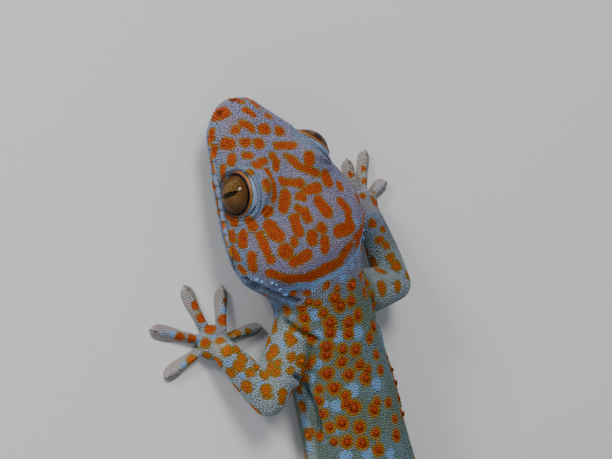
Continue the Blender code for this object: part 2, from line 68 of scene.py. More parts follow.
# The animal's form, repeated from the part's source
NOSE_ROUNDING = 4.5
HEAD_END = 44.0
VENT = 152.0
TAIL_END = 302.0
TAIL_ROUNDING = 6.0
ANCHOR = 78.0
ANCHOR_PLACE = (-2.9, 32.25)
HEADING = (
    (0, 27), (7, 24), (14, 20), (22, 17.5), (36, 17.5), (46, 11.5), (56, 8.5), (66, 4.5), (90, 2),
    (110, 0), (130, 2), (152, 8), (180, 20), (215, 22), (250, -2), (280, -30), (302, -42),
)
SECTIONS = (
    (0, 4.6, 10.0, 5.2), (3, 6.1, 11.3, 4.4), (6, 7.4, 12.8, 3.8), (10, 9.4, 14.6, 3.4),
    (13, 10.8, 15.9, 3.2), (18, 12.8, 17.8, 3.1), (24, 14.7, 19.5, 3.0), (29, 15.6, 20.5, 2.8),
    (33, 15.0, 20.6, 2.5), (36, 13.1, 19.9, 2.2), (39, 10.9, 18.8, 1.8), (42, 9.9, 17.9, 1.2),
    (47, 9.8, 16.8, 0.3), (54, 10.2, 16.2, -0.5), (64, 10.7, 15.8, -0.7), (78, 11.4, 16.2, -0.7),
    (95, 12.8, 17.0, -0.7), (112, 13.2, 17.0, -0.7), (128, 11.8, 15.6, -0.7), (140, 9.6, 13.8, -0.6),
    (152, 8.0, 12.0, -0.5), (162, 7.3, 11.0, -0.5), (200, 6.0, 9.0, -0.4), (250, 4.1, 6.2, -0.3),
    (290, 2.0, 3.3, -0.2), (302, 1.2, 2.2, -0.2),
)
WIDEST_LEVEL = ((0, 0.36), (34, 0.36), (46, 0.42), (302, 0.42))
BACK_POWER = ((0, 1.95), (34, 2.05), (48, 2.2), (302, 2.2))
BELLY_POWER = 2.35
EYE_STATION = 17.0
EYE_RADIUS = 5.1
EYE_OUT = 7.3
EYE_HEIGHT = 12.0
EYE_LIFT = 9.0
EYE_FORWARD = 14.0
ORBIT_RADIUS = 5.9
EAR_STATION = 34.0
EAR_ANGLE = 8.0
EAR_SIZE = (1.1, 2.1)
NOSTRIL_STATION = 0.9
NOSTRIL_ANGLE = 44.0
MOUTH_ANGLE = -3.0
MOUTH_CORNER = 28.0
WHORL = 5.6
WHORL_SWELL = 0.05
LEGS = {
    "foreleg_left": ((7.0, 2.6, 8.6), (16.6, 16.4, 7.2), (22.6, 5.6, 3.9), (23.6, 3.4, 1.7)),
    "foreleg_right": ((-6.5, 0.6, 8.8), (-18.6, 1.0, 7.6), (-18.3, -12.8, 3.9), (-18.6, -15.4, 1.7)),
    "hindleg_left": ((2.8, 94.0, 8.2), (25.0, 83.0, 10.4), (33.0, 101.0, 4.8), (36.0, 105.6, 1.9)),
    "hindleg_right": ((-9.2, 95.0, 8.2), (-29.0, 102.0, 10.4), (-30.5, 121.6, 4.8), (-34.0, 126.4, 1.9)),
}
LEG_RADII = {"fore": (4.6, 3.6, 2.6, 2.2), "hind": (5.2, 3.9, 2.9, 2.5)}
MUSCLE_SWELL = 0.10
PALM_SIZE = {"fore": (3.5, 3.5, 2.0), "hind": (4.1, 4.1, 2.2)}
DIGITS = {
    "foreleg_left": ((180, 12.8, 0), (255, 10.9, -2.4), (286, 12.6, 0), (337, 14.0, 0), (21, 12.4, 0)),
    "foreleg_right": ((352, 9.0, 0), (314, 10.2, 0), (278, 10.2, 0), (251, 11.6, 0), (205, 8.6, 0)),
    "hindleg_left": ((248, 11.0, 0), (290, 13.8, 0), (326, 15.6, 0), (4, 16.0, 0), (58, 14.0, 0)),
    "hindleg_right": ((268, 11.0, 0), (228, 13.8, 0), (192, 15.6, 0), (158, 16.0, 0), (112, 14.0, 0)),
}
PAD_WIDTH = 3.3
FIRST_TOE = 0.82
TOE_WIDTH = 2.0
CLAW_LENGTH = 0.9

# Details that only the looks have
SKIN_DEPTH = 0.14
VOXEL_BODY = 0.54
VOXEL_FOOT = 0.2
MIDLINE_STEP = 0.5
LIMB_START = 42.0
LIMB_GAP = 1.0
SPOT_GAP = 3.4
LIMB_SPOT_GAP = 3.3
SPOT_TRIES = 70
FLOOR_LIFT = 0.02
OPENING = (4.0, 4.05)
OPENING_AHEAD = 0.85
PUPIL = (1.25, 0.17)
EYE_GROWTH = 0.12
FAR_PUPIL = (316.5, 139.5)
FAR_PUPIL_WIDENING = 0.55
LIP_PLATES = 11
LIP_SPAN = (1.2, 27.0)
LIP_SPREAD = 9.5
LIP_GROOVE = 0.36
LIP_ROWS = ((4.6, 1.15, 0.30), (-10.8, 1.05, 0.26))

TOE_EDGE = 0.12
PAD_LINE_PITCH = 0.52
CLAW_ROOT = 1.2
CLAW_REACH = 0.8
CLAW_THICKNESS = 0.26
FOOT_TINT = 0.45
SCALE_DOME = ((1.0, -0.35), (0.76, 0.58))
TUBERCLE_DOME = ((1.03, -0.3), (1.0, 0.12), (0.88, 0.48), (0.63, 0.80), (0.31, 0.96))
TUBERCLE_SIDES = 10
TAIL_CONES = (90, 62, 118, 34, 146, 8, 172)
BAKE_PATCH = 0.0015
MARK_SEED, SCALE_SEED, FOOT_SCALE_SEED, TUBERCLE_SEED = 23, 5, 6, 9
REGION_STARTS = {
    "snout": 0, "brow": 15, "crown": 24, "nape": 32, "neck": 44, "shoulders": 62, "back": 84,
    "loins": 108, "rump": 132, "tail_base": 160, "tail_tip": 205,
}
HEAD_REGIONS = ("snout", "brow", "crown", "nape")

# Plain colours and scatter distances that aren't settings
HIDE_SCATTER = (0.0012, 0.0006, 0.0004)
FOOT_SCATTER = (0.0018, 0.0009, 0.0006)
# The lid's black is dark skin and painted shadow where the lid's margin meets the eyeball
LID_DARK_AND_SHADOW = (0.006, 0.005, 0.006)
CLAW_DARK, CLAW_BASE, CLAW_STREAK = (0.02, 0.016, 0.014), (0.09, 0.065, 0.045), (0.16, 0.12, 0.08)
SKY = (0.78, 0.82, 0.9, 1)

# The camera: turn and height in degrees, distance, and the pixel where a known point of the neck shows
PHOTO_SIZE = (612, 459)
CAMERA_TURN = 12.0
CAMERA_HEIGHT = 54.0
CAMERA_DISTANCE = 450.0
PIXELS_PER_MM = 5.0
NECK_POINT = (0.0, 0.0, 12.0)
NECK_PIXEL = (335.0, 300.0)
SENSOR = 36.0
FLOOR_SIZE = 3.0

# Lamps: shares of the ways towards the camera, right and up, distance and size in metres, power as a
# share of the key light's, colour
LAMPS = {
    "key": ((0.66, 0.24, 0.6), 1.2, 0.4, 1.0, (1.0, 0.98, 0.95)),
    "fill": ((0.5, -0.2, -0.5), 1.3, 0.9, 0.24, (0.92, 0.95, 1.0)),
    "spark": ((0.745, -0.45, 0.49), 0.9, 0.15, 0.6, (1, 1, 1)),
}

# Marks of the coat as they lie in the photo, in pixels of its 612 x 459 frame: x and y of the middle, or
# of both ends, and then the width
HEAD_MARKS = (
    (216, 115, 223, 113, 14), (233, 101, 241, 101, 8), (245, 109, 254, 115, 6), (255, 104, 257, 106, 7),
    (267, 116, 269, 117, 6), (243, 123, 253, 129, 8), (235, 130, 236, 130, 8), (264, 129, 266, 129, 11),
    (279, 131, 280, 131, 10), (212, 131, 212, 138, 7), (225, 144, 229, 144, 11), (245, 142, 246, 142, 9),
    (260, 143, 261, 143, 11), (214, 148, 214, 154, 7), (278, 145, 293, 145, 8), (245, 156, 250, 156, 7),
    (232, 158, 232, 162, 9), (273, 155, 274, 155, 8), (260, 163, 266, 160, 7), (278, 161, 278, 166, 10),
    (254, 164, 258, 167, 5), (287, 155, 301, 167, 8), (301, 167, 317, 173, 8), (309, 157, 309, 160, 11),
    (267, 169, 273, 182, 4), (273, 182, 274, 201, 5), (266, 183, 266, 189, 8), (285, 180, 302, 182, 11),
    (326, 176, 328, 181, 13), (308, 190, 318, 187, 10), (300, 196, 304, 196, 9), (339, 185, 340, 188, 8),
    (287, 194, 284, 207, 11), (298, 208, 299, 209, 7), (306, 212, 308, 219, 10), (320, 202, 328, 212, 12),
    (341, 202, 347, 210, 9), (347, 210, 349, 221, 9), (268, 211, 268, 212, 11), (294, 219, 299, 232, 10),
    (322, 228, 323, 229, 10), (339, 231, 351, 227, 13), (270, 226, 278, 236, 12), (313, 236, 313, 240, 12),
    (294, 240, 294, 243, 7), (325, 241, 326, 249, 11), (285, 251, 286, 252, 14), (294, 261, 307, 255, 11),
    (234, 218, 235, 222, 9), (249, 221, 253, 227, 9), (259, 235, 260, 237, 8), (263, 243, 267, 252, 9),
    (270, 258, 271, 260, 8), (232, 234, 233, 239, 8), (243, 234, 243, 245, 8), (234, 250, 238, 258, 8),
    (252, 255, 253, 268, 9), (271, 273, 290, 278, 10), (290, 278, 310, 277, 10), (310, 277, 324, 270, 11),
    (324, 270, 341, 263, 12), (341, 263, 346, 253, 11), (346, 253, 351, 245, 9), (357, 208, 363, 216, 7),
    (363, 216, 361, 228, 7), (361, 228, 355, 237, 8), (222, 168, 222, 184, 5), (227, 213, 229, 216, 6),
    (223, 224, 224, 226, 6), (250, 172, 252, 175, 5), (217, 199, 218, 204, 4), (213, 166, 214, 171, 5),
    (210, 112, 210, 117, 5), (214, 184, 215, 189, 5), (219, 210, 220, 214, 5), (226, 238, 228, 243, 6),
    (231, 252, 234, 257, 6), (241, 267, 245, 271, 6), (210, 138, 210, 143, 4), (212, 157, 212, 160, 4),
)
BODY_MARKS = (
    (335, 298, 12), (341, 306, 12), (353, 285, 12), (352, 301, 11), (359, 315, 12), (324, 314, 10),
    (330, 323, 13), (330, 333, 11), (349, 323, 12), (349, 334, 11), (370, 338, 10), (374, 327, 10),
    (327, 347, 12), (327, 355, 11), (343, 350, 10), (356, 350, 12), (342, 362, 11), (360, 365, 10),
    (377, 355, 9), (327, 374, 13), (349, 375, 12), (366, 378, 12), (368, 370, 9), (381, 370, 9),
    (305, 378, 9), (319, 389, 8), (334, 388, 12), (345, 396, 10), (319, 401, 9), (322, 414, 10),
    (354, 408, 14), (347, 404, 11), (374, 410, 11), (377, 402, 9), (389, 403, 10), (330, 427, 10),
    (342, 423, 12), (360, 427, 12), (376, 433, 10), (395, 419, 9), (333, 443, 12), (347, 442, 12),
    (363, 443, 12), (379, 450, 11), (397, 435, 11), (302, 361, 11), (303, 370, 9), (299, 388, 10),
    (302, 407, 10), (308, 435, 10), (320, 436, 8), (313, 432, 6), (293, 293, 7), (307, 293, 7),
    (309, 302, 9), (317, 304, 8), (302, 309, 9), (304, 318, 10), (305, 330, 9), (311, 339, 10),
    (266, 296, 6), (271, 311, 6), (327, 285, 8), (338, 289, 8),
)
BEAD_MARKS = (
    (253, 277, 4), (257.5, 279, 5), (262, 281, 4), (272.5, 281.5, 5), (276.5, 283.5, 4.5), (280, 288, 5.5),
    (285.5, 291.5, 6.5),
)
PALE_MARKS = (
    (315, 316, 12), (318, 335, 11), (339, 337, 13), (358, 333, 14), (317, 364, 11), (311, 378, 10),
    (353, 390, 15), (377, 384, 13), (337, 406, 13), (325, 404, 8), (335, 430, 9), (346, 456, 13),
    (368, 454, 13), (391, 454, 12), (312, 288, 12), (344, 277, 11), (353, 266, 9), (355, 222, 7),
    (372, 308, 9), (387, 340, 8), (292, 303, 9), (300, 283, 10), (273, 304, 12), (283, 300, 9),
    (296, 337, 9), (293, 317, 8), (299, 397, 9), (304, 422, 11), (309, 448, 10), (323, 440, 8),
)
PALE_BANDS = (
    (257, 283, 270, 286, 5), (270, 286, 284, 289, 6), (284, 289, 300, 287, 7), (300, 287, 316, 283, 7),
    (316, 283, 333, 277, 7), (333, 277, 347, 268, 7), (347, 268, 353, 258, 6),
)
FLANK_BANDS = (
    (296, 385, 300, 398, 12), (300, 398, 304, 413, 13), (304, 413, 307, 428, 14), (307, 428, 310, 443, 14),
    (310, 443, 312, 457, 14),
)
LIMB_MARKS = (
    (275, 323, 7), (274, 330, 6), (268, 341, 8), (273, 351, 10), (269, 356, 7), (270, 367, 7),
    (276, 372, 7), (278, 363, 4), (264, 375, 7), (257, 367, 6), (251, 373, 7), (253, 359, 3),
    (243, 358, 8), (239, 365, 9), (246, 387, 10), (266, 389, 8), (267, 395, 7), (283, 393, 7),
    (283, 400, 6), (290, 371, 5), (292, 341, 9), (289, 336, 7), (287, 310, 8), (294, 328, 8),
    (292, 357, 7), (230, 373, 8), (223, 355, 8), (237, 349, 7), (220, 340, 8), (237, 332, 7),
    (229, 334, 5), (210, 329, 10), (205, 343, 8), (207, 356, 6), (192, 339, 9), (180, 337, 9),
    (202, 318, 10), (196, 305, 9), (224, 320, 11), (226, 301, 7), (192, 361, 9), (248, 331, 5),
    (372, 223, 8), (383, 229, 6), (380, 240, 8), (386, 245, 7), (391, 258, 8), (396, 265, 9),
    (408, 275, 6), (372, 261, 7), (380, 270, 9), (398, 286, 9), (382, 286, 9), (383, 291, 8),
    (365, 292, 10), (361, 276, 8), (363, 169, 5), (364, 181, 5), (363, 196, 5), (350, 175, 5),
    (373, 193, 4), (372, 198, 4),
)
LIMB_PALE_MARKS = (
    (173, 334, 7), (199, 341, 7), (200, 309, 6), (224, 310, 7), (184, 365, 7), (199, 357, 7),
    (213, 337, 6), (205, 324, 6), (229, 364, 8), (243, 375, 9), (258, 350, 8), (262, 385, 9),
    (277, 315, 8), (281, 345, 8),
)
FOLD_MARKS = (
    ((256, 294), (265, 303), (273, 312), (286, 321), (296, 329), (307, 335), (318, 340)),
    ((295, 376), (305, 384), (309, 393), (314, 403), (318, 416), (321, 432)),
    ((247, 278), (256, 283), (266, 287), (276, 292), (288, 296), (298, 300)),
)


class Profile:
    """A smooth curve through a few (station, value) pairs that never overshoots them."""

    def __init__(self, pairs):
        self.stations, self.values = np.array(pairs, float).T
        rise = np.diff(self.values) / np.diff(self.stations)
        self.slopes = np.zeros(len(self.values))
        self.slopes[[0, -1]] = rise[[0, -1]]
        for i in range(1, len(rise)):
            if rise[i - 1] * rise[i] > 0:
                self.slopes[i] = 2 * rise[i - 1] * rise[i] / (rise[i - 1] + rise[i])

    def __call__(self, station):
        x = np.clip(station, self.stations[0], self.stations[-1])
        i = np.clip(np.searchsorted(self.stations, x) - 1, 0, len(self.stations) - 2)
        span = self.stations[i + 1] - self.stations[i]
        t = (x - self.stations[i]) / span
        near, far = self.values[i], self.values[i + 1]
        bend = t * (1 - t) * span * ((1 - t) * self.slopes[i] - t * self.slopes[i + 1])
        return near + (far - near) * t * t * (3 - 2 * t) + bend


heading = Profile(HEADING)
half_width = Profile([(row[0], row[1]) for row in SECTIONS])
back_height = Profile([(row[0], row[2]) for row in SECTIONS])
underside = Profile([(row[0], row[3]) for row in SECTIONS])
widest_level = Profile(WIDEST_LEVEL)
back_power = Profile(BACK_POWER)


def smooth(share):
    """An even S from 0 to 1."""
    share = np.clip(share, 0.0, 1.0)
    return share * share * (3 - 2 * share)


def bell(distance, width):
    return np.exp(-((distance / width) ** 2))


def unit(vectors):
    vectors = np.asarray(vectors, float)
    return vectors / np.maximum(np.linalg.norm(vectors, axis=-1, keepdims=True), 1e-12)


def signed_power(values, power):
    return np.sign(values) * np.abs(values) ** power


def laid_midline():
    """The midline on the floor: its stations and the (x, y) at each."""
    stations = np.arange(0.0, TAIL_END + MIDLINE_STEP, MIDLINE_STEP)
    turn = np.radians(heading(stations))
    back = np.stack([-np.sin(turn), np.cos(turn)], axis=1)
    places = np.vstack([[0.0, 0.0], np.cumsum((back[1:] + back[:-1]) / 2 * MIDLINE_STEP, axis=0)])
    return stations, places - places[int(ANCHOR / MIDLINE_STEP)] + ANCHOR_PLACE


MIDLINE_STATIONS, MIDLINE_PLACES = laid_midline()


def midline(station):
    """(place on the floor, unit vectors to the animal's left and forwards) at one or many stations."""
    station = np.asarray(station, float)
    x, y = (np.interp(station, MIDLINE_STATIONS, MIDLINE_PLACES[:, i]) for i in range(2))
    turn = np.radians(heading(station))
    level = np.zeros_like(turn)
    place = np.stack([x, y, level], -1)
    left = np.stack([np.cos(turn), np.sin(turn), level], -1)
    return place, left, np.stack([np.sin(turn), -np.cos(turn), level], -1)


def eye_frame(side):
    """(centre, rows that point forwards, up and outwards) of the left eye, side 1, or the right, side -1."""
    place, left, forward = midline(EYE_STATION)
    centre = place + left * side * EYE_OUT + (0, 0, EYE_HEIGHT)
    lift, ahead = math.radians(EYE_LIFT), math.radians(EYE_FORWARD)
    level = left * side * math.cos(ahead) + forward * math.sin(ahead)
    out = unit(level * math.cos(lift) + (0, 0, math.sin(lift)))
    up = unit(np.array((0, 0, 1.0)) - out * out[2])
    along = unit(forward - out * (forward @ out) - up * (forward @ up))
    return centre, np.stack([along, up, out])


EYES = {side: eye_frame(side) for side in (1, -1)}


def eye_ring(local):
    """0 in the middle of the opening over an eye, 1 at its edge; local holds places in the eye's own rows."""
    return np.hypot((local[:, 0] - OPENING_AHEAD) / OPENING[0], local[:, 1] / OPENING[1])


def eye_locals(points):
    """The same points in each eye's own rows, the left eye's first."""
    return [(points - centre) @ rows.T for centre, rows in EYES.values()]


def box_middle(node):
    low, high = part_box(node)
    return np.array(low + high) / 2


SHIFT = box_middle("eye_left") / MM - EYES[1][0]


def end_rounding(station):
    """How much of the section's size is left near the tips of the snout and the tail."""
    from_nose = np.clip(station / NOSE_ROUNDING, 0, 1)
    from_tail = np.clip((TAIL_END - station) / TAIL_ROUNDING, 0, 1)
    return np.sqrt(1 - (1 - from_nose) ** 2) * np.sqrt(1 - (1 - from_tail) ** 2)


def whorl_swell(station):
    """The tail is ringed: each whorl of scales swells towards its rear edge."""
    share = np.clip((station - VENT) / WHORL, 0, None) % 1.0
    edge = smooth(share / 0.85) - smooth((share - 0.88) / 0.12)
    return np.where(station > VENT, 1 + WHORL_SWELL * (edge - 0.5), 1.0)


def relief(station, degrees):
    """Millimetres that the head stands out from its plain form: cheeks, brow ridges, hollows, furrow."""
    aside = np.abs(((degrees + 90) % 360) - 180)
    high = np.where(np.abs(degrees % 360 - 90) < 90, 1.0, 0.0)
    jowl = 0.55 * bell(station - 30.5, 5.5) * bell(aside - 46, 20)
    cheek = 0.35 * bell(station - 26, 6) * bell(aside - 84, 14)
    furrow = -0.55 * bell(station - 37, 6.5) * bell(aside, 13)
    brow = -0.95 * bell(station - 16.5, 5.5) * bell(aside, 17)
    canthus = 0.4 * bell(station - 8.5, 4.0) * bell(aside - 40, 11)
    snout = -0.35 * bell(station - 7.5, 3.2) * bell(aside, 16)
    return high * (jowl + furrow + brow + canthus + snout) + cheek


def swell_round_eyes(points, station):
    """The orbits stand out round the eyeballs, but not over the openings that they look through."""
    for centre, axes in EYES.values():
        away = points - centre
        distance = np.maximum(np.linalg.norm(away, axis=-1), 1e-6)
        facing = (away @ axes[2]) / distance
        cover = np.clip((0.62 - facing) / 0.22, 0, 1) * (distance < 2 * ORBIT_RADIUS) * (station < HEAD_END)
        pushed = (distance**8 + ORBIT_RADIUS**8) ** (1 / 8)
        points = centre + away * (1 + cover * (pushed - distance) / distance)[..., None]
    return points


def body_surface(station, degrees, grow=0.0):
    """Points of the trunk: 0 degrees is the left flank, 90 the back and 180 the right flank."""
    station, degrees = np.broadcast_arrays(np.asarray(station, float), np.asarray(degrees, float))
    place, left, _ = midline(station)
    size = end_rounding(station) * whorl_swell(station)
    top, bottom = back_height(station), underside(station)
    level = bottom + (top - bottom) * widest_level(station)
    across, up = np.cos(np.radians(degrees)), np.sin(np.radians(degrees))
    power = np.where(up > 0, 2 / back_power(station), 2 / BELLY_POWER)
    reach = np.where(up > 0, top - level, level - bottom)
    grow = (grow + relief(station, degrees)) * np.minimum(1, size * 1.5)
    x = (half_width(station) * size + grow) * signed_power(across, power)
    z = level + (reach * size + grow) * signed_power(up, power)
    points = place + left * x[..., None]
    points[..., 2] = z
    return swell_round_eyes(points, station)


def on_both_sides(station, degrees):
    """The two places of the trunk's surface that lie alike on the left and on the right."""
    return [body_surface(station, turned) for turned in (degrees, 180 - degrees)]


def body_normal(station, degrees):
    """Outward directions of the trunk's surface, from two short steps on it."""
    along = body_surface(station + 0.4, degrees) - body_surface(station - 0.4, degrees)
    around = body_surface(station, degrees + 1) - body_surface(station, degrees - 1)
    return unit(np.cross(along, around))


def body_coordinates(points):
    """(station, degrees round the section, distance beyond the trunk's surface) of any points."""
    nearest = np.empty(len(points), int)
    coarse = MIDLINE_PLACES[::2]
    for start in range(0, len(points), 20000):
        block = points[start:start + 20000, None, :2] - coarse[None]
        nearest[start:start + 20000] = (block**2).sum(-1).argmin(1) * 2
    place, _, forward = midline(MIDLINE_STATIONS[nearest])
    station = np.clip(MIDLINE_STATIONS[nearest] - ((points - place) * forward).sum(1), 0, TAIL_END)
    place, left, _ = midline(station)
    size = np.maximum(end_rounding(station), 0.35)
    top, bottom = back_height(station), underside(station)
    level = bottom + (top - bottom) * widest_level(station)
    across = ((points - place) * left).sum(1) / (half_width(station) * size)
    up = points[:, 2] - level
    up /= np.where(up > 0, top - level, level - bottom) * size
    power = np.where(up > 0, back_power(station), BELLY_POWER)
    degrees = np.degrees(np.arctan2(signed_power(up, power / 2), signed_power(across, power / 2)))
    radial = (np.abs(across) ** power + np.abs(up) ** power) ** (1 / power)
    beyond = (radial - 1) * np.minimum(half_width(station), (top - bottom) / 2)
    return station, degrees, beyond


def on_limb(station, beyond):
    """True where a point belongs to a limb: behind the head and clear of the trunk."""
    return (beyond > LIMB_GAP) & (station > LIMB_START)


def limb_surface(start, end, radii, across, along):
    """Points of a tapered limb with round ends, fullest in its middle; across and along run from 0 to 1."""
    start, end = np.array(start, float), np.array(end, float)
    length = np.linalg.norm(end - start)
    axis = (end - start) / length
    aside = unit(np.cross(axis, (0.3, 0.2, 1.0)))
    other = np.cross(axis, aside)
    place = -radii[0] + (length + radii[0] + radii[1]) * along
    share = np.clip(place / length, 0, 1)
    radius = (radii[0] + (radii[1] - radii[0]) * share) * (1 + MUSCLE_SWELL * np.sin(np.pi * share))
    beyond = np.maximum(0, np.maximum(-place, place - length))
    radius = np.sqrt(np.maximum(0, radius**2 - beyond**2))
    angle = 2 * np.pi * across
    spoke = aside * np.cos(angle)[:, None] + other * np.sin(angle)[:, None]
    return start + axis * place[:, None] + spoke * radius[:, None]


def leg_coordinates(points):
    """(which leg, millimetres down it from its root, degrees round it, distance beyond its surface)."""
    leg = np.zeros(len(points), int)
    down = np.zeros(len(points))
    degrees = np.zeros(len(points))
    beyond = np.full(len(points), 1e9)
    for number, (name, joints) in enumerate(LEGS.items()):
        passed = 0.0
        for part in range(3):
            start, end = (np.array(joint) for joint in joints[part:part + 2])
            radii = LEG_RADII[name[:4]][part:part + 2]
            length = np.linalg.norm(end - start)
            axis = (end - start) / length
            share = np.clip((points - start) @ axis / length, 0, 1)
            away = points - start - axis * (share * length)[:, None]
            gap = np.linalg.norm(away, axis=1) - radii[0] - (radii[1] - radii[0]) * share
            aside = unit(np.cross(axis, (0.3, 0.2, 1.0)))
            angle = np.degrees(np.arctan2(away @ np.cross(axis, aside), away @ aside))
            closer = gap < beyond
            leg[closer], beyond[closer] = number, gap[closer]
            down[closer], degrees[closer] = (passed + share * length)[closer], angle[closer]
            passed += length
    return leg, down, degrees, beyond


def all_toes():
    """Each toe: its leg's name, number, where it starts, the ways along and across it, and its length."""
    for name, toes in DIGITS.items():
        palm = np.array(LEGS[name][3]) * (1, 1, 0)
        for number, (degrees, length, offset) in enumerate(toes):
            direction = np.array((math.cos(math.radians(degrees)), math.sin(math.radians(degrees)), 0))
            aside = np.array((-direction[1], direction[0], 0))
            yield name, number, palm + aside * offset, direction, aside, length


def camera_axes():
    """(right, up, towards the camera) of the photo's view, as the animal sits in its frame."""
    turn, height = math.radians(CAMERA_TURN), math.radians(CAMERA_HEIGHT)
    up = np.array((-math.sin(turn), -math.cos(turn), 0.0))
    aside = np.array((math.cos(turn), -math.sin(turn), 0.0))
    towards = aside * math.cos(height) + np.array((0, 0, math.sin(height)))
    return np.cross(up, towards), up, towards


def camera_place():
    """(where the camera stands, the point of the view's plane at the middle of the picture)."""
    right, up, towards = camera_axes()
    across = (PHOTO_SIZE[0] / 2 - NECK_PIXEL[0]) / PIXELS_PER_MM
    down = (PHOTO_SIZE[1] / 2 - NECK_PIXEL[1]) / PIXELS_PER_MM
    middle = np.array(NECK_POINT) + right * across - up * down
    return middle + towards * CAMERA_DISTANCE, middle


def solids_tree():
    """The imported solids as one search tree, in the animal's frame."""
    corners, faces = [], []
    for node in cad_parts.values():
        first = len(corners)
        corners += [tuple(np.array(vertex.co) / MM - SHIFT) for vertex in node.data.vertices]
        faces += [[first + i for i in face.vertices] for face in node.data.polygons]
    return BVHTree.FromPolygons(corners, faces)


SOLIDS = solids_tree()


def photo_point(x, y):
    """The point of the animal that shows at a pixel of the photo, or None where it shows none."""
    right, up, _ = camera_axes()
    stand, middle = camera_place()
    aim = middle + right * (x - PHOTO_SIZE[0] / 2) / PIXELS_PER_MM
    aim = aim - up * (y - PHOTO_SIZE[1] / 2) / PIXELS_PER_MM
    place, _, _, _ = SOLIDS.ray_cast(Vector(stand), Vector(unit(aim - stand)))
    return None if place is None else np.array(place)


def shows_in_photo(point, normal):
    """True where the photo's camera sees this point of the animal, inside its frame."""
    right, up, towards = camera_axes()
    stand, middle = camera_place()
    sight = point - stand
    depth = -(sight @ towards)
    offset = stand + sight * CAMERA_DISTANCE / depth - middle
    across, above = (abs(offset @ way) * PIXELS_PER_MM for way in (right, up))
    if across > PHOTO_SIZE[0] / 2 or above > PHOTO_SIZE[1] / 2:
        return False
    if unit(-sight) @ normal < 0.12:
        return False
    place, _, _, _ = SOLIDS.ray_cast(Vector(stand), Vector(unit(sight)))
    return place is not None and np.linalg.norm(np.array(place) - point) < 2.0


def mirrored(point):
    """The same place on the animal's other side."""
    station, degrees, _ = body_coordinates(point[None])
    return body_surface(station, 180 - degrees)[0]


def capsules_from_photo(marks):
    """Marks of the photo as (start, end, half width) on the animal, those of the hidden flank mirrored."""
    found = []
    for mark in marks:
        ends = [photo_point(*mark[:2]), photo_point(*mark[-3:-1])]
        if ends[0] is None or ends[1] is None or np.linalg.norm(ends[1] - ends[0]) > 9:
            continue
        radius = mark[-1] / PIXELS_PER_MM / 2
        found.append((*ends, radius))
        station, degrees, beyond = body_coordinates((ends[0] + ends[1])[None] / 2)
        twin = [mirrored(end) for end in ends]
        if beyond[0] < 1.2 and not shows_in_photo(twin[0], body_normal(station, 180 - degrees)[0]):
            found.append((*twin, radius))
    return found


def body_rows(first, last, chance):
    """Rows of orange marks across the back, with pale ones between some, as (start, end, half width)."""
    orange, pale = [], []
    station, row = first, 0
    while station < last:
        width = float(half_width(station))
        share = max(0.35, min(1.0, width / 11))
        pale_row = row % 3 == 1
        count = max(3, round(width * 2.9 / (4.3 * share**0.35)))
        for i in range(count):
            degrees = -6 + 192 * (i + (0.5 if row % 2 else 0.15) + chance.uniform(-0.13, 0.13)) / count
            place = body_surface(station + chance.uniform(-0.5, 0.5), degrees)
            radius = chance.uniform(0.95, 1.3) * (0.45 + 0.55 * share)
            if pale_row and i % 2 == (row // 3) % 2:
                pale.append((place, place, radius * 1.2))
                continue
            tail = place + chance.uniform(-0.7, 0.7, 3) * (1, 1, 0) * share
            orange.append((place, tail, radius))
        station += 3.9 * (0.55 + 0.45 * share)
        row += 1
    return orange, pale


def tail_bands(first, last):
    """Pale rings round the tail, one each third whorl, as (start, end, half width)."""
    found = []
    for station in np.arange(first, last, 3 * WHORL):
        width = 1.5 * float(half_width(station)) / 7 + 0.4
        ring = [body_surface(station, degrees) for degrees in range(-20, 201, 20)]
        found += [(start, end, width) for start, end in zip(ring, ring[1:])]
    return found


def limb_marks(chance):
    """Marks spread over what the photo doesn't show of the limbs, at least a set distance apart."""
    found = []
    for name, joints in LEGS.items():
        for part in range(3):
            start, end = joints[part:part + 2]
            way = unit(np.subtract(end, start))
            radii = LEG_RADII[name[:4]][part:part + 2]
            for _ in range(SPOT_TRIES):
                across, along = chance.uniform(0, 1, 1), chance.uniform(0.1, 0.9, 1)
                place = limb_surface(start, end, radii, across, along)[0]
                core = np.array(start) + way * np.clip((place - start) @ way, 0, None)
                normal = unit(place - core)
                if normal[2] < -0.5 or ("fore" in name and shows_in_photo(place, normal)):
                    continue
                if all(np.linalg.norm(place - other[0]) > LIMB_SPOT_GAP for other in found):
                    tail = place + chance.uniform(-0.8, 0.8, 3)
                    found.append((place, tail, chance.uniform(0.7, 1.15)))
    return found


def toe_marks(chance):
    """Two bands across each toe of the feet that the photo doesn't show."""
    found = []
    for name, _, start, direction, aside, length in all_toes():
        if name.startswith("fore"):
            continue
        for share in (0.36, 0.60):
            place = start + direction * length * (share + chance.uniform(-0.03, 0.03)) + (0, 0, 1.3)
            found.append((place - aside * 0.7, place + aside * 0.7, 0.8))
    return found


def flank_marks(others, chance):
    """Marks low on both flanks, clear of the others and of what the photo shows."""
    found = []
    for station in np.arange(50, 148, 6.2):
        for degrees in (-26, -8, 9) if station < 86 else (-25, -8):
            aside = degrees + chance.uniform(-4, 4)
            for turned in (aside, 180 - aside):
                place = body_surface(station + chance.uniform(-2, 2), turned)
                gaps = (np.linalg.norm(place - (start + end) / 2) for start, end, _ in others + found)
                if min(gaps) > SPOT_GAP and not shows_in_photo(place, body_normal(station, turned)):
                    found.append((place, place, chance.uniform(0.75, 1.1)))
    return found


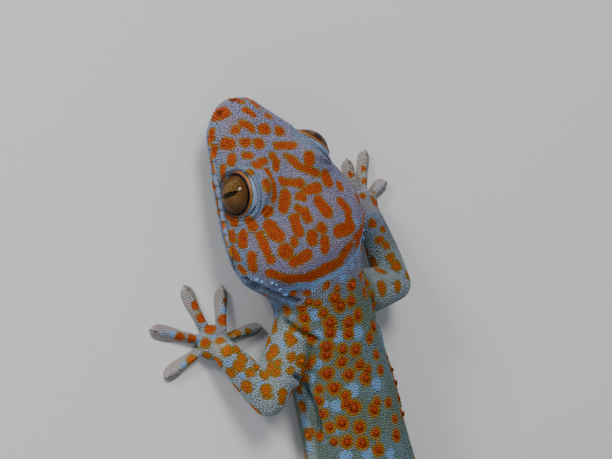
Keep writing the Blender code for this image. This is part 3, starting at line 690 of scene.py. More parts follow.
class Markings:
    """The coat's marks in the animal's frame, worked out once and read by skin, scales and plates alike."""

    def __init__(self):
        chance = np.random.default_rng(MARK_SEED)
        rows, pale_rows = body_rows(83.5, TAIL_END - 4, chance)
        self.body_spots = capsules_from_photo(BODY_MARKS) + rows
        self.body_spots += flank_marks(self.body_spots, chance)
        seen = capsules_from_photo(HEAD_MARKS), capsules_from_photo(LIMB_MARKS)
        self.orange = seen[0] + self.body_spots + seen[1] + limb_marks(chance) + toe_marks(chance)
        self.pale = capsules_from_photo(PALE_MARKS + LIMB_PALE_MARKS + PALE_BANDS)
        self.pale += pale_rows + tail_bands(VENT + 11, TAIL_END)
        self.flank = capsules_from_photo(FLANK_BANDS)
        self.folds = []
        for line in FOLD_MARKS:
            points = [photo_point(x, y) for x, y in line]
            self.add_fold([point for point in points if point is not None])
        stations = np.arange(92, 142, 5)
        self.add_fold([body_surface(station, -14 + 4 * math.sin(station / 9)) for station in stations])

    def add_fold(self, points):
        """A fold through some points, and the same one on the animal's other side."""
        for line in (points, [mirrored(point) for point in points]):
            self.folds += [(start, end, 0.0) for start, end in zip(line, line[1:])]


def capsule_field(points, capsules, reach=3.0):
    """Signed millimetres inside the nearest capsule, never below -reach."""
    order = np.argsort(points[:, 1])
    ordered = points[order]
    levels = ordered[:, 1]
    best = np.full(len(points), -reach)
    for start, end, radius in capsules:
        low = min(start[1], end[1]) - radius - reach
        high = max(start[1], end[1]) + radius + reach
        first, last = np.searchsorted(levels, (low, high))
        if first == last:
            continue
        near = ordered[first:last] - start
        axis = np.subtract(end, start)
        share = np.clip(near @ axis / max(axis @ axis, 1e-9), 0, 1)
        inside = radius - np.linalg.norm(near - share[:, None] * axis, axis=1)
        np.maximum(best[first:last], inside, out=best[first:last])
    field = np.empty(len(points))
    field[order] = best
    return field


def coat_fields(points):
    """The values that the coat's finish reads at any points, by name."""
    station, degrees, beyond = body_coordinates(points)
    _, down, _, off_leg = leg_coordinates(points)
    limb = smooth((beyond - 0.3) / 2.0) * smooth((station - 40) / 6)
    foot = limb * smooth((down - 30.5) / 5.0) * (off_leg < 40)
    low = smooth((-np.sin(np.radians(degrees)) - 0.25) / 0.5) * (1 - limb)
    marks = markings()
    # Painted shade in the folds of the coat, in a groove round each lid margin, along the mouth line and in
    # the ears and nostrils: the finishes darken these places by this field
    crease_shade = smooth(1.1 + capsule_field(points, marks.folds, 1.4) / 0.7)
    ashen = np.maximum(limb, 0.85 * smooth(0.6 + capsule_field(points, marks.flank, 1.0)))
    cheek = smooth((0.75 - np.sin(np.radians(degrees))) / 0.6)
    for local in eye_locals(points):
        ring, outer = eye_ring(local), local[:, 2] > 0
        crease_shade = np.maximum(crease_shade, 0.9 * bell(ring - 1.07, 0.1) * outer)
        cheek = np.maximum(cheek, bell(ring - 1.28, 0.2) * outer)
    mouth = bell(degrees_from_mouth(degrees), 3.2) * (station < MOUTH_CORNER + 1.5) * (beyond < 1.5)
    crease_shade = np.maximum(crease_shade, mouth)
    for ear in on_both_sides(EAR_STATION, EAR_ANGLE):
        crease_shade = np.maximum(crease_shade, bell(np.linalg.norm((points - ear) / (0.9, 0.9, 1.6), axis=1), 0.95))
    for nostril in on_both_sides(NOSTRIL_STATION, NOSTRIL_ANGLE):
        crease_shade = np.maximum(crease_shade, bell(np.linalg.norm(points - nostril, axis=1), 0.55))
    return {
        "orange": capsule_field(points, marks.orange),
        "pale": capsule_field(points, marks.pale),
        "trunk": smooth((station - 37) / 11),
        "cheek": cheek * smooth((52 - station) / 10),
        "limb": ashen,
        "foot": foot,
        "belly": low,
        "crease_shade": crease_shade,
    }


def foot_fields(points):
    """The coat's values on the feet, which are pinkish all over and get no painted crease shade."""
    fields = coat_fields(points)
    fields["foot"] = np.maximum(fields["foot"], FOOT_TINT)
    fields["crease_shade"] *= 0.0
    return fields


def degrees_from_mouth(degrees):
    """How far a place on the section lies above or below the line of the mouth."""
    turned = np.where(np.abs(degrees) < 90, degrees, 180 - degrees)
    turned = (turned + 180) % 360 - 180
    return turned - MOUTH_ANGLE


_made = {}


def markings():
    if "markings" not in _made:
        _made["markings"] = Markings()
    return _made["markings"]


def vertex_array(mesh):
    points = np.empty(len(mesh.vertices) * 3)
    mesh.vertices.foreach_get("co", points)
    return points.reshape(-1, 3)


def normal_array(mesh):
    normals = np.empty(len(mesh.vertices) * 3, np.float32)
    mesh.vertex_normals.foreach_get("vector", normals)
    return normals.reshape(-1, 3).astype(float)


def set_vertices(mesh, points):
    mesh.vertices.foreach_set("co", np.asarray(points, np.float32).ravel())
    mesh.update()


def add_fields(mesh, fields):
    for name, values in fields.items():
        made = mesh.attributes.new(name, "FLOAT", "POINT")
        made.data.foreach_set("value", np.asarray(values, np.float32))


def mapped_grid(columns, rows, place):
    """A grid bent by place, which takes arrays from 0 to 1 across and along, with meeting edges welded."""
    shape = bmesh.new()
    bmesh.ops.create_grid(shape, x_segments=columns, y_segments=rows, size=0.5)
    flat = np.array([vertex.co[:2] for vertex in shape.verts]) + 0.5
    for vertex, point in zip(shape.verts, place(flat[:, 0], flat[:, 1])):
        vertex.co = point
    bmesh.ops.remove_doubles(shape, verts=shape.verts[:], dist=WELD)
    bmesh.ops.recalc_face_normals(shape, faces=shape.faces[:])
    return shape


def joined(shapes):
    """One mesh of several bmeshes, which are freed."""
    whole = bmesh.new()
    for shape in shapes:
        part = bpy.data.meshes.new("part")
        shape.to_mesh(part)
        shape.free()
        whole.from_mesh(part)
        bpy.data.meshes.remove(part)
    mesh = bpy.data.meshes.new("joined")
    whole.to_mesh(mesh)
    whole.free()
    return mesh


def fused(mesh, voxel, rounds):
    """One closed surface round the overlapping closed shapes of a mesh, smoothed."""
    holder = bpy.data.objects.new("holder", mesh)
    bpy.context.scene.collection.objects.link(holder)
    remesh = holder.modifiers.new("Remesh", "REMESH")
    remesh.mode = "VOXEL"
    remesh.voxel_size = voxel
    remesh.adaptivity = 0.0
    soft = holder.modifiers.new("Smooth", "SMOOTH")
    soft.factor = 0.5
    soft.iterations = rounds
    bpy.context.view_layer.update()
    graph = bpy.context.evaluated_depsgraph_get()
    made = bpy.data.meshes.new_from_object(holder.evaluated_get(graph))
    bpy.data.objects.remove(holder)
    bpy.data.meshes.remove(mesh)
    return made


def finish_piece(name, mesh, material, nodes=()):
    """Puts a mesh in the animal's millimetres into the frame, as a smooth piece that rides the body."""
    set_vertices(mesh, (vertex_array(mesh) + SHIFT) * MM)
    mesh.name = name
    mesh.materials.clear()
    mesh.materials.append(material)
    mesh.shade_smooth()
    piece = bpy.data.objects.new(name, mesh)
    bpy.context.scene.collection.objects.link(piece)
    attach(piece, BODY)
    if nodes:
        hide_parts(*nodes)
    return piece


class Finish:
    """A material under construction: each call adds one linked node and gives back its output."""

    def __init__(self, name, **plain):
        self.material = bpy.data.materials.new(name)
        self.material.use_nodes = True
        self.tree = self.material.node_tree
        self.shader = self.tree.nodes["Principled BSDF"]
        for socket, value in plain.items():
            self.shader.inputs[socket.replace("_", " ").title().replace("Ior", "IOR")].default_value = value

    def node(self, kind, inputs=(), **settings):
        made = self.tree.nodes.new(kind)
        for name, value in settings.items():
            setattr(made, name, value)
        for key, value in dict(inputs).items():
            if isinstance(value, bpy.types.NodeSocket):
                self.tree.links.new(value, made.inputs[key])
            else:
                made.inputs[key].default_value = value
        return made

    def field(self, name):
        return self.node("ShaderNodeAttribute", attribute_name=name).outputs["Fac"]

    def place(self):
        return self.node("ShaderNodeTexCoord").outputs["Object"]

    def maths(self, operation, first, second=None):
        inputs = {0: first} if second is None else {0: first, 1: second}
        return self.node("ShaderNodeMath", inputs, operation=operation).outputs[0]

    def times(self, first, second):
        return self.maths("MULTIPLY", first, second)

    def plus(self, first, second):
        return self.maths("ADD", first, second)

    def between(self, value, low, high, first=0.0, last=1.0):
        """Runs from first to last as value goes from low to high."""
        inputs = {0: value, 1: low, 2: high, 3: first, 4: last}
        return self.node("ShaderNodeMapRange", inputs, interpolation_type="SMOOTHSTEP").outputs[0]

    def mix(self, share, first, second):
        inputs = {0: share, 6: first, 7: second}
        return self.node("ShaderNodeMix", inputs, data_type="RGBA").outputs[2]

    def stain(self, coat, share, colour):
        """Lays a plain colour over a coat, as much as share says."""
        return self.mix(share, coat, rgba(colour))

    def noise(self, scale, detail=2.0, place=None):
        inputs = {"Vector": place or self.place(), "Scale": scale, "Detail": detail}
        return self.node("ShaderNodeTexNoise", inputs).outputs["Fac"]

    def cells(self, scale):
        inputs = {"Vector": self.place(), "Scale": scale}
        return self.node("ShaderNodeTexVoronoi", inputs).outputs["Distance"]

    def bump(self, height, distance, strength, normal=None):
        inputs = {"Height": height, "Distance": distance, "Strength": strength}
        if normal:
            inputs["Normal"] = normal
        return self.node("ShaderNodeBump", inputs).outputs["Normal"]

    def use(self, **links):
        for socket, value in links.items():
            self.tree.links.new(value, self.shader.inputs[socket.replace("_", " ").title()])
        return self.material


def rgba(colour):
    return (*colour, 1.0)


def hide_colour(finish, colours):
    """The coat's colour from its fields: ground by region, then pale marks, then orange ones with a rim."""
    trunk, limb = finish.field("trunk"), finish.field("limb")
    drift = finish.maths("SUBTRACT", finish.noise(1300, 2), 0.5)
    wander = finish.times(finish.maths("SUBTRACT", finish.noise(430, 1), 0.5), 0.8)
    patches = finish.between(finish.noise(240, 2), 0.38, 0.62)
    ground = finish.mix(patches, rgba(colours.head), rgba(colours.blush))
    ground = finish.stain(ground, finish.times(finish.field("cheek"), 0.8), colours.cheek)
    ground = finish.stain(ground, trunk, colours.body)
    ground = finish.stain(ground, limb, colours.limb)
    ground = finish.stain(ground, finish.field("belly"), colours.belly)
    ground = finish.stain(ground, finish.field("foot"), colours.foot)
    washed = finish.stain(ground, 0.5, colours.pale)
    ground = finish.mix(finish.between(finish.noise(160, 2), 0.35, 0.7, 0.0, 0.5), ground, washed)
    ground = finish.stain(ground, finish.between(finish.noise(2600, 1), 0.35, 0.72, 0.0, 0.45), colours.dark)
    pale = finish.plus(finish.field("pale"), finish.times(drift, 0.8))
    ground = finish.stain(ground, finish.between(pale, -0.25, 0.3, 0.0, 0.85), colours.pale)
    orange = finish.plus(finish.plus(finish.field("orange"), finish.times(drift, 0.7)), wander)
    halo = finish.plus(orange, finish.times(trunk, 0.22))
    coat = finish.stain(ground, finish.between(halo, -0.40, -0.06), colours.rim)
    mark = finish.mix(finish.times(limb, 0.75), rgba(colours.mark), rgba(colours.limb_mark))
    mark = finish.stain(mark, finish.between(finish.noise(1000, 2), 0.45, 0.75, 0.0, 0.55), colours.core)
    coat = finish.mix(finish.between(orange, -0.10, 0.24), coat, mark)
    core = finish.times(finish.between(orange, 0.25, 1.1), finish.maths("SUBTRACT", trunk, limb))
    return finish.stain(coat, finish.times(core, 0.8), colours.core)


def hide_material(name, scales):
    """Skin or scales: the same markings, with painted shade where the skin shows as the seams between scales
    and in creases.
    """
    colours = bpy.context.scene.gecko_colours
    finish = Finish(name, ior=1.42, specular_ior_level=0.22, subsurface_weight=0.05)
    finish.shader.inputs["Subsurface Radius"].default_value = HIDE_SCATTER
    coat = hide_colour(finish, colours)
    crease_shade, patchy = finish.field("crease_shade"), finish.noise(900, 2)
    if scales:
        # Painted shade: each scale and tubercle darker towards its base, in the grooves between them, lighter
        # towards its top
        coat = finish.stain(coat, finish.between(finish.field("rise"), 0.05, 0.75, 0.55, 0.0), colours.seam)
        # Painted shade in folds, round the lids, along the mouth and in ears and nostrils
        coat = finish.stain(coat, finish.times(crease_shade, 0.93), colours.seam)
        rough = finish.between(patchy, 0.3, 0.7, 0.42, 0.58)
        normal = finish.bump(finish.noise(6000, 2), 0.00006, 0.35)
    else:
        cells = finish.cells(1500)
        # Painted shade at the edges of the cells, in the grooves between scales
        coat = finish.stain(coat, finish.between(cells, 0.1, 0.6, 0.18, 0.5), colours.seam)
        # Painted shade in folds, round the lids, along the mouth and in ears and nostrils
        coat = finish.stain(coat, finish.times(crease_shade, 0.9), colours.seam)
        rough = finish.between(patchy, 0.3, 0.7, 0.5, 0.66)
        normal = finish.bump(finish.maths("SUBTRACT", 1.0, cells), 0.00018, 0.6)
    return finish.use(base_color=coat, roughness=rough, normal=normal)


def scale_material():
    if "scales" not in _made:
        _made["scales"] = hide_material("scaled_hide", True)
    return _made["scales"]


def foot_material():
    """Feet: the coat's markings over pinkish skin, with fine cross lines on the thin edges of the pads."""
    colours = bpy.context.scene.gecko_colours
    finish = Finish("foot_hide", ior=1.42, specular_ior_level=0.3, subsurface_weight=0.18)
    finish.shader.inputs["Subsurface Radius"].default_value = FOOT_SCATTER
    pad, cells = finish.field("pad"), finish.cells(2200)
    line = finish.maths("SINE", finish.times(finish.field("outwards"), 2 * math.pi / PAD_LINE_PITCH))
    edge = finish.mix(finish.between(line, -0.8, 0.9, 0.0, 0.4), rgba(colours.pad), rgba(colours.pad_line))
    coat = finish.mix(finish.times(pad, 0.9), hide_colour(finish, colours), edge)
    # Painted shade at the edges of the cells, in the grooves between the foot's scales
    coat = finish.stain(coat, finish.between(cells, 0.1, 0.55, 0.0, 0.2), colours.seam)
    normal = finish.bump(finish.maths("SUBTRACT", 1.0, cells), 0.00008, 0.5)
    normal = finish.bump(finish.times(line, pad), 0.00007, 0.6, normal)
    rough = finish.between(finish.noise(1200, 2), 0.3, 0.7, 0.44, 0.6)
    return finish.use(base_color=coat, roughness=rough, normal=normal)


def push_eye_openings(points):
    """Opens the skin over each eyeball and lays the fine folds of the lids round the opening."""
    for centre, rows in EYES.values():
        local = (points - centre) @ rows.T
        distance = np.linalg.norm(local, axis=1)
        ring = eye_ring(local)
        near = (local[:, 2] > 0) & (distance < ORBIT_RADIUS + 4) & (ring < 2.6)
        inside = smooth((1.05 - ring) / 0.10)
        least = EYE_RADIUS + 0.3 + 0.3 * smooth((ring - 1.0) / 0.25)
        settled = np.maximum(distance, least)
        folds = 0.26 * np.cos((ring - 1.22) * 2 * np.pi / 0.21) * smooth((ring - 1.04) / 0.08)
        folds *= smooth((1.95 - ring) / 0.6)
        settled = (settled + folds) * (1 - inside) + np.minimum(distance, EYE_RADIUS - 0.6) * inside
        scale = np.where(near, settled / np.maximum(distance, 1e-6), 1.0)
        points = centre + (points - centre) * scale[:, None]
    return points


def press_details(points, normals):
    """Mouth line, ears, nostrils and folds pressed into the skin."""
    station, degrees, beyond = body_coordinates(points)
    near_line = smooth((MOUTH_CORNER + 1 - station) / 2) * (beyond < 1.5)
    depth = 0.55 * (bell(degrees_from_mouth(degrees), 2.6) * near_line)
    _, _, forward = midline(EAR_STATION)
    ears = on_both_sides(EAR_STATION, EAR_ANGLE)
    nostrils = on_both_sides(NOSTRIL_STATION, NOSTRIL_ANGLE)
    for ear, nostril in zip(ears, nostrils):
        away = points - ear
        along = np.hypot((away @ forward) / EAR_SIZE[0], away[:, 2] / EAR_SIZE[1])
        depth += 1.7 * smooth((1.1 - along) / 0.55) * (np.linalg.norm(away, axis=1) < 4)
        gap = np.linalg.norm(points - nostril, axis=1)
        depth += 0.8 * smooth((0.72 - gap) / 0.4) - 0.18 * bell(gap - 0.95, 0.25)
    line = -capsule_field(points, markings().folds, 2.5)
    depth += 1.25 * bell(line, 0.42) - 0.45 * bell(line - 1.2, 0.6)
    return points - normals * depth[:, None]


def on_the_floor(points):
    """Flattens what would reach through the floor."""
    points[:, 2] = np.maximum(points[:, 2], FLOOR_LIFT)
    return points


def refine(mesh, centres, reach):
    """Halves the faces round some points, where fine folds need them."""
    shape = bmesh.new()
    shape.from_mesh(mesh)
    spots = [Vector(centre) for centre in centres]
    near = [edge for edge in shape.edges if any((edge.verts[0].co - spot).length < reach for spot in spots)]
    bmesh.ops.subdivide_edges(shape, edges=near, cuts=1, use_grid_fill=True, smooth=0.2)
    bmesh.ops.triangulate(shape, faces=[face for face in shape.faces if len(face.verts) > 4])
    shape.to_mesh(mesh)
    shape.free()


def body_shapes():
    """The trunk and the limbs down to the wrists and ankles, as closed overlapping shapes."""

    def trunk(across, along):
        station = TAIL_END * (1 - np.cos(np.pi * np.clip(along, 0, 1) * 0.999 + 0.0005)) / 2
        station = np.where(along <= 0, 0, np.where(along >= 1, TAIL_END, station))
        return body_surface(station, 360 * across, -SKIN_DEPTH)

    shapes = [mapped_grid(112, 620, trunk)]
    for name, joints in LEGS.items():
        radii = [radius - SKIN_DEPTH for radius in LEG_RADII[name[:4]]]
        for part in range(2):
            ends, pair = joints[part:part + 2], radii[part:part + 2]
            shapes.append(mapped_grid(36, 60, lambda a, b: limb_surface(*ends, pair, a, b)))
    return shapes


class SkinOperator(bpy.types.Operator):
    """One skin over head, trunk, tail and limbs, with lid folds, mouth, ears, nostrils and creases"""

    bl_idname = "gecko.skin"
    bl_label = "Skin"

    def execute(self, context):
        mesh = fused(joined(body_shapes()), VOXEL_BODY, 6)
        snout = body_surface(4.0, 90) - (0, 0, 4)
        refine(mesh, [EYES[1][0], EYES[-1][0], snout], 8.5)
        points = vertex_array(mesh)
        points = press_details(points, normal_array(mesh))
        points = on_the_floor(push_eye_openings(points))
        set_vertices(mesh, points)
        add_fields(mesh, coat_fields(points))
        _made["skin"] = surface_of(mesh)
        names = ["head", "neck", "torso", "tail_base", "tail_middle", "tail_tip"]
        names += [f"{leg}_{part}" for leg in LEGS for part in ("upper", "lower")]
        finish_piece("skin", mesh, hide_material("bare_hide", False), names)
        return {"FINISHED"}


def toe_height(share, x, half):
    """The top of a toe above the floor: a thin pad, and a ridge of bone along its middle."""
    pad = 0.55 + 0.95 * (1 - share) ** 1.4
    edge = np.sqrt(np.maximum(0.0, 1 - (np.abs(x) / half) ** 3))
    ridge = 1.15 * (1 - 0.45 * share) * bell(x, 0.62 + 0.35 * (1 - share))
    return TOE_EDGE + (pad - TOE_EDGE) * edge + ridge * edge


def toe_half_width(share):
    swell = bell(share - 0.78, 0.27)
    close = np.sqrt(np.maximum(0.0, 1 - np.maximum(0.0, (share - 0.9) / 0.103) ** 2))
    return np.maximum(0.02, (TOE_WIDTH + (PAD_WIDTH - TOE_WIDTH) * swell) / 2 * close)


def toe_shape(number, start, direction, aside, length):
    """A flat toe: narrow at the root, a broad thin pad further out, closed underneath."""
    widening = 1.0 if number else FIRST_TOE

    def place(across, along):
        share = 0.04 + 0.96 * np.sin(np.pi / 2 * along)
        half = toe_half_width(share) * widening
        angle = 2 * np.pi * across
        x = half * signed_power(np.cos(angle), 0.8)
        above = np.sin(angle)
        crown = TOE_EDGE + (toe_height(share, x, half) - TOE_EDGE) * np.abs(above) ** 0.4
        z = np.where(above > 0, crown, TOE_EDGE - 0.35 * np.abs(above) ** 0.5)
        z = np.where(along >= 1, TOE_EDGE, z)
        x = np.where(along >= 1, 0.0, x)
        return start + direction * (length * share)[:, None] + aside * x[:, None] + z[:, None] * (0, 0, 1)

    return mapped_grid(40, 60, place)


def foot_shapes():
    """The palms, toes and wrist ends of the four feet, as closed overlapping shapes."""
    shapes = []
    for name, joints in LEGS.items():
        palm = np.array(joints[3])
        size = PALM_SIZE[name[:4]]
        ball = bmesh.new()
        made = bmesh.ops.create_uvsphere(ball, u_segments=32, v_segments=20, radius=1.0)
        turned = Matrix.Translation(palm) @ Matrix.Diagonal((*size, 1))
        bmesh.ops.transform(ball, matrix=turned, verts=made["verts"])
        shapes.append(ball)
        radii = [radius - SKIN_DEPTH - 0.08 for radius in LEG_RADII[name[:4]][2:]]
        shapes.append(mapped_grid(32, 30, lambda a, b: limb_surface(joints[2], joints[3], radii, a, b)))
    return shapes + [toe_shape(*toe) for _, *toe in all_toes()]


def pad_fields(points):
    """How much of each point lies on the thin edge of a pad, and its distance out along the toe."""
    pad = np.zeros(len(points))
    outwards = np.zeros(len(points))
    closest = np.full(len(points), 1e9)
    for _, _, start, direction, across, length in all_toes():
        away = points - start
        along = away @ direction
        side = np.abs(away @ across)
        share = along / length
        inside = (share > 0.15) & (share < 1.1) & (side < PAD_WIDTH / 2 + 0.4) & (side < closest)
        flat = smooth((side - 0.62) / 0.4) * smooth((share - 0.38) / 0.16)
        flat = np.maximum(flat, smooth((0.42 - points[:, 2]) / 0.3))
        tip = 0.8 * smooth((share - 0.80) / 0.12)
        pad = np.where(inside, np.maximum(flat, tip), pad)
        outwards = np.where(inside, along, outwards)
        closest = np.where(inside, side, closest)
    return {"pad": pad, "outwards": outwards}


class FeetOperator(bpy.types.Operator):
    """The four feet, each with its palm and five toes with broad thin pads"""

    bl_idname = "gecko.feet"
    bl_label = "Feet"

    def execute(self, context):
        mesh = fused(joined(foot_shapes()), VOXEL_FOOT, 3)
        points = on_the_floor(vertex_array(mesh))
        set_vertices(mesh, points)
        add_fields(mesh, foot_fields(points) | pad_fields(points))
        _made["feet"] = surface_of(mesh)
        names = [leg.replace("leg", "foot") for leg in LEGS]
        finish_piece("feet", mesh, foot_material(), names)
        return {"FINISHED"}


def surface_of(mesh):
    """A skin's corners, triangles, corner normals and search tree, kept for laying scales on it."""
    mesh.calc_loop_triangles()
    triangles = np.empty(len(mesh.loop_triangles) * 3, np.int32)
    mesh.loop_triangles.foreach_get("vertices", triangles)
    triangles = triangles.reshape(-1, 3)
    points = vertex_array(mesh)
    tree = BVHTree.FromPolygons(points.tolist(), triangles.tolist())
    return points, triangles, normal_array(mesh), tree


def near_pairs(points, reach):
    """Index pairs of points closer than about reach, found by sorting them into cells of that size."""
    cells = np.floor(points / reach).astype(np.int64)
    cells -= cells.min(0) - 1
    span = cells.max(0) + 2
    key = (cells[:, 0] * span[1] + cells[:, 1]) * span[2] + cells[:, 2]
    order = np.argsort(key, kind="stable")
    ordered = key[order]
    firsts, seconds = [], []
    offsets = [(i, j, k) for i in (-1, 0, 1) for j in (-1, 0, 1) for k in (-1, 0, 1)]
    for i, j, k in offsets:
        if (i, j, k) < (0, 0, 0):
            continue
        other = ordered + (i * span[1] + j) * span[2] + k
        start = np.searchsorted(ordered, other, "left")
        count = np.searchsorted(ordered, other, "right") - start
        first = np.repeat(np.arange(len(points)), count)
        step = np.arange(len(first)) - np.repeat(np.cumsum(count) - count, count)
        second = np.repeat(start, count) + step
        if (i, j, k) == (0, 0, 0):
            keep = first < second
            first, second = first[keep], second[keep]
        firsts.append(order[first])
        seconds.append(order[second])
    first, second = np.concatenate(firsts), np.concatenate(seconds)
    close = np.linalg.norm(points[first] - points[second], axis=1) < reach
    return first[close], second[close]


def snapped(points, tree, triangles, corner_normals):
    """The nearest points of a surface and its smooth normals there."""
    places = np.empty_like(points)
    faces = np.empty(len(points), int)
    for i, point in enumerate(points):
        place, _, face, _ = tree.find_nearest(point)
        places[i] = place
        faces[i] = face
    return places, unit(corner_normals[triangles[faces]].mean(1))


def spread_over(surface, pitch_at, chance, rounds=9):
    """Points laid evenly over a surface, about pitch_at(places) apart: (places, normals, pitches)."""
    points, triangles, normals, tree = surface
    corners = points[triangles]
    middles = corners.mean(1)
    sides = corners[:, 1] - corners[:, 0], corners[:, 2] - corners[:, 0]
    area = np.linalg.norm(np.cross(*sides), axis=1) / 2
    pitch = pitch_at(middles)
    share = np.where(pitch > 0, 1.12 * area / np.maximum(pitch, 0.1) ** 2, 0)
    total = np.cumsum(share)
    picks = np.searchsorted(total, np.arange(chance.uniform(0, 1), total[-1], 1.0))
    first, second = chance.uniform(0, 1, (2, len(picks), 1))
    flip = first + second > 1
    first, second = np.where(flip, 1 - first, first), np.where(flip, 1 - second, second)
    a, b, c = corners[picks, 0], corners[picks, 1], corners[picks, 2]
    places = a + (b - a) * first + (c - a) * second
    pitches = pitch[picks]
    lies = unit(normals[triangles[picks]].mean(1))
    reach = float(pitches.max()) * 1.05
    for turn in range(rounds):
        near, far = near_pairs(places, reach)
        gap = places[far] - places[near]
        distance = np.maximum(np.linalg.norm(gap, axis=1), 1e-6)
        wanted = (pitches[near] + pitches[far]) / 2
        push = gap * (0.45 * np.clip(wanted - distance, 0, None) / distance)[:, None]
        move = np.stack([
            np.bincount(far, push[:, i], len(places)) - np.bincount(near, push[:, i], len(places))
            for i in range(3)
        ], 1)
        move -= lies * (move * lies).sum(1)[:, None]
        size = np.linalg.norm(move, axis=1)
        move *= (np.minimum(size, 0.4 * pitches) / np.maximum(size, 1e-9))[:, None]
        places = places + move
        if turn % 3 == 2 or turn == rounds - 1:
            places, lies = snapped(places, tree, triangles, normals)
    keep = pitch_at(places) > 0
    return places[keep], lies[keep], pitches[keep]


def dome_template(sides, rings):
    """Corners (side, side, rise) and faces of a small dome, from its rings of (radius, height), rim first."""
    shape = bmesh.new()
    # This cone is deleted at once, but it decides in which order the corners of the circles come
    radii = {"radius1": rings[0][0], "radius2": rings[-1][0]}
    made = bmesh.ops.create_cone(shape, segments=sides, depth=0.0, cap_ends=False, **radii)
    bmesh.ops.delete(shape, geom=made["verts"], context="VERTS")
    corners = []
    for radius, height in rings:
        ring = bmesh.ops.create_circle(shape, segments=sides, radius=radius)["verts"]
        bmesh.ops.translate(shape, vec=(0, 0, height), verts=ring)
        corners += [tuple(vertex.co) for vertex in ring]
    shape.free()
    faces = []
    for low in range(0, (len(rings) - 1) * sides, sides):
        for i in range(sides):
            j = (i + 1) % sides
            faces.append((low + i, low + j, low + sides + j, low + sides + i))
    top = len(rings) * sides
    faces += [(top - sides + i, top - sides + (i + 1) % sides, top) for i in range(sides)]
    return np.array(corners + [(0.0, 0.0, 1.0)]), faces


def unwrap(points):
    """Places of points on an unwrap of the skin: the body above, the limbs below it and the feet lowest."""
    station, degrees, beyond = body_coordinates(points)
    leg, down, around, off_leg = leg_coordinates(points)
    on_leg = on_limb(station, beyond) & (off_leg < 6)
    on_foot = on_limb(station, beyond) & (down > 31)
    u = 0.01 + 0.98 * station / TAIL_END
    v = 0.39 + 0.59 * (degrees % 360) / 360
    u = np.where(on_leg, 0.01 + 0.98 * np.clip(down / 45, 0, 1), u)
    v = np.where(on_leg, 0.215 + 0.042 * leg + 0.036 * (around % 360) / 360, v)
    palms = np.array([joints[3] for joints in LEGS.values()])[leg]
    u = np.where(on_foot, 0.02 + 0.24 * leg + 0.10 + (points[:, 0] - palms[:, 0]) / 200, u)
    v = np.where(on_foot, 0.105 + (points[:, 1] - palms[:, 1]) / 200, v)
    return np.stack([u, v], 1)


def lay_domes(name, template, places, normals, backs, sizes, fields, material, slot):
    """One mesh of many small domes. sizes holds each one's half length, half width and height."""
    corners, faces = template
    ahead = unit(backs - normals * (backs * normals).sum(1)[:, None])
    aside = np.cross(normals, ahead)
    count, each = len(places), len(corners)
    local = corners[None] * sizes[:, None, :]
    points = places[:, None] + local[..., :1] * ahead[:, None] + local[..., 1:2] * aside[:, None]
    points = points + local[..., 2:] * normals[:, None]
    points[..., 2] = np.maximum(points[..., 2], 0.01)
    sides = np.array([len(face) for face in faces])
    loops = np.concatenate([np.array(face) for face in faces])
    mesh = bpy.data.meshes.new(name)
    mesh.vertices.add(count * each)
    mesh.vertices.foreach_set("co", points.astype(np.float32).ravel())
    all_loops = (loops[None] + (np.arange(count) * each)[:, None]).ravel()
    mesh.loops.add(len(all_loops))
    mesh.loops.foreach_set("vertex_index", all_loops.astype(np.int32))
    starts = np.cumsum(np.tile(sides, count)) - np.tile(sides, count)
    mesh.polygons.add(len(starts))
    mesh.polygons.foreach_set("loop_start", starts.astype(np.int32))
    patch = mesh.uv_layers.new(name="OFBake")
    spots = unwrap(places)[:, None] + corners[None, :, :2] * BAKE_PATCH
    spots = np.clip(spots.reshape(-1, 2), 0.0, 1.0)[all_loops]
    patch.data.foreach_set("uv", spots.astype(np.float32).ravel())
    mesh.update(calc_edges=True)
    fields = {key: np.repeat(values, each) for key, values in fields.items()}
    # Each corner's height in its dome, which the finish reads to paint shade towards the dome's base
    fields["rise"] = np.tile(np.clip(corners[:, 2], 0, 1), count)
    add_fields(mesh, fields)
    return finish_piece(name, mesh, material)


def lie_of_coat(points):
    """Which way the scales lie: back along the body, and down the limbs."""
    station, _, beyond = body_coordinates(points)
    backs = -midline(station)[2]
    leg, _, _, _ = leg_coordinates(points)
    ends = np.array([np.subtract(joints[3], joints[0]) for joints in LEGS.values()])
    limb = on_limb(station, beyond)[:, None]
    return np.where(limb, unit(ends)[leg], backs)


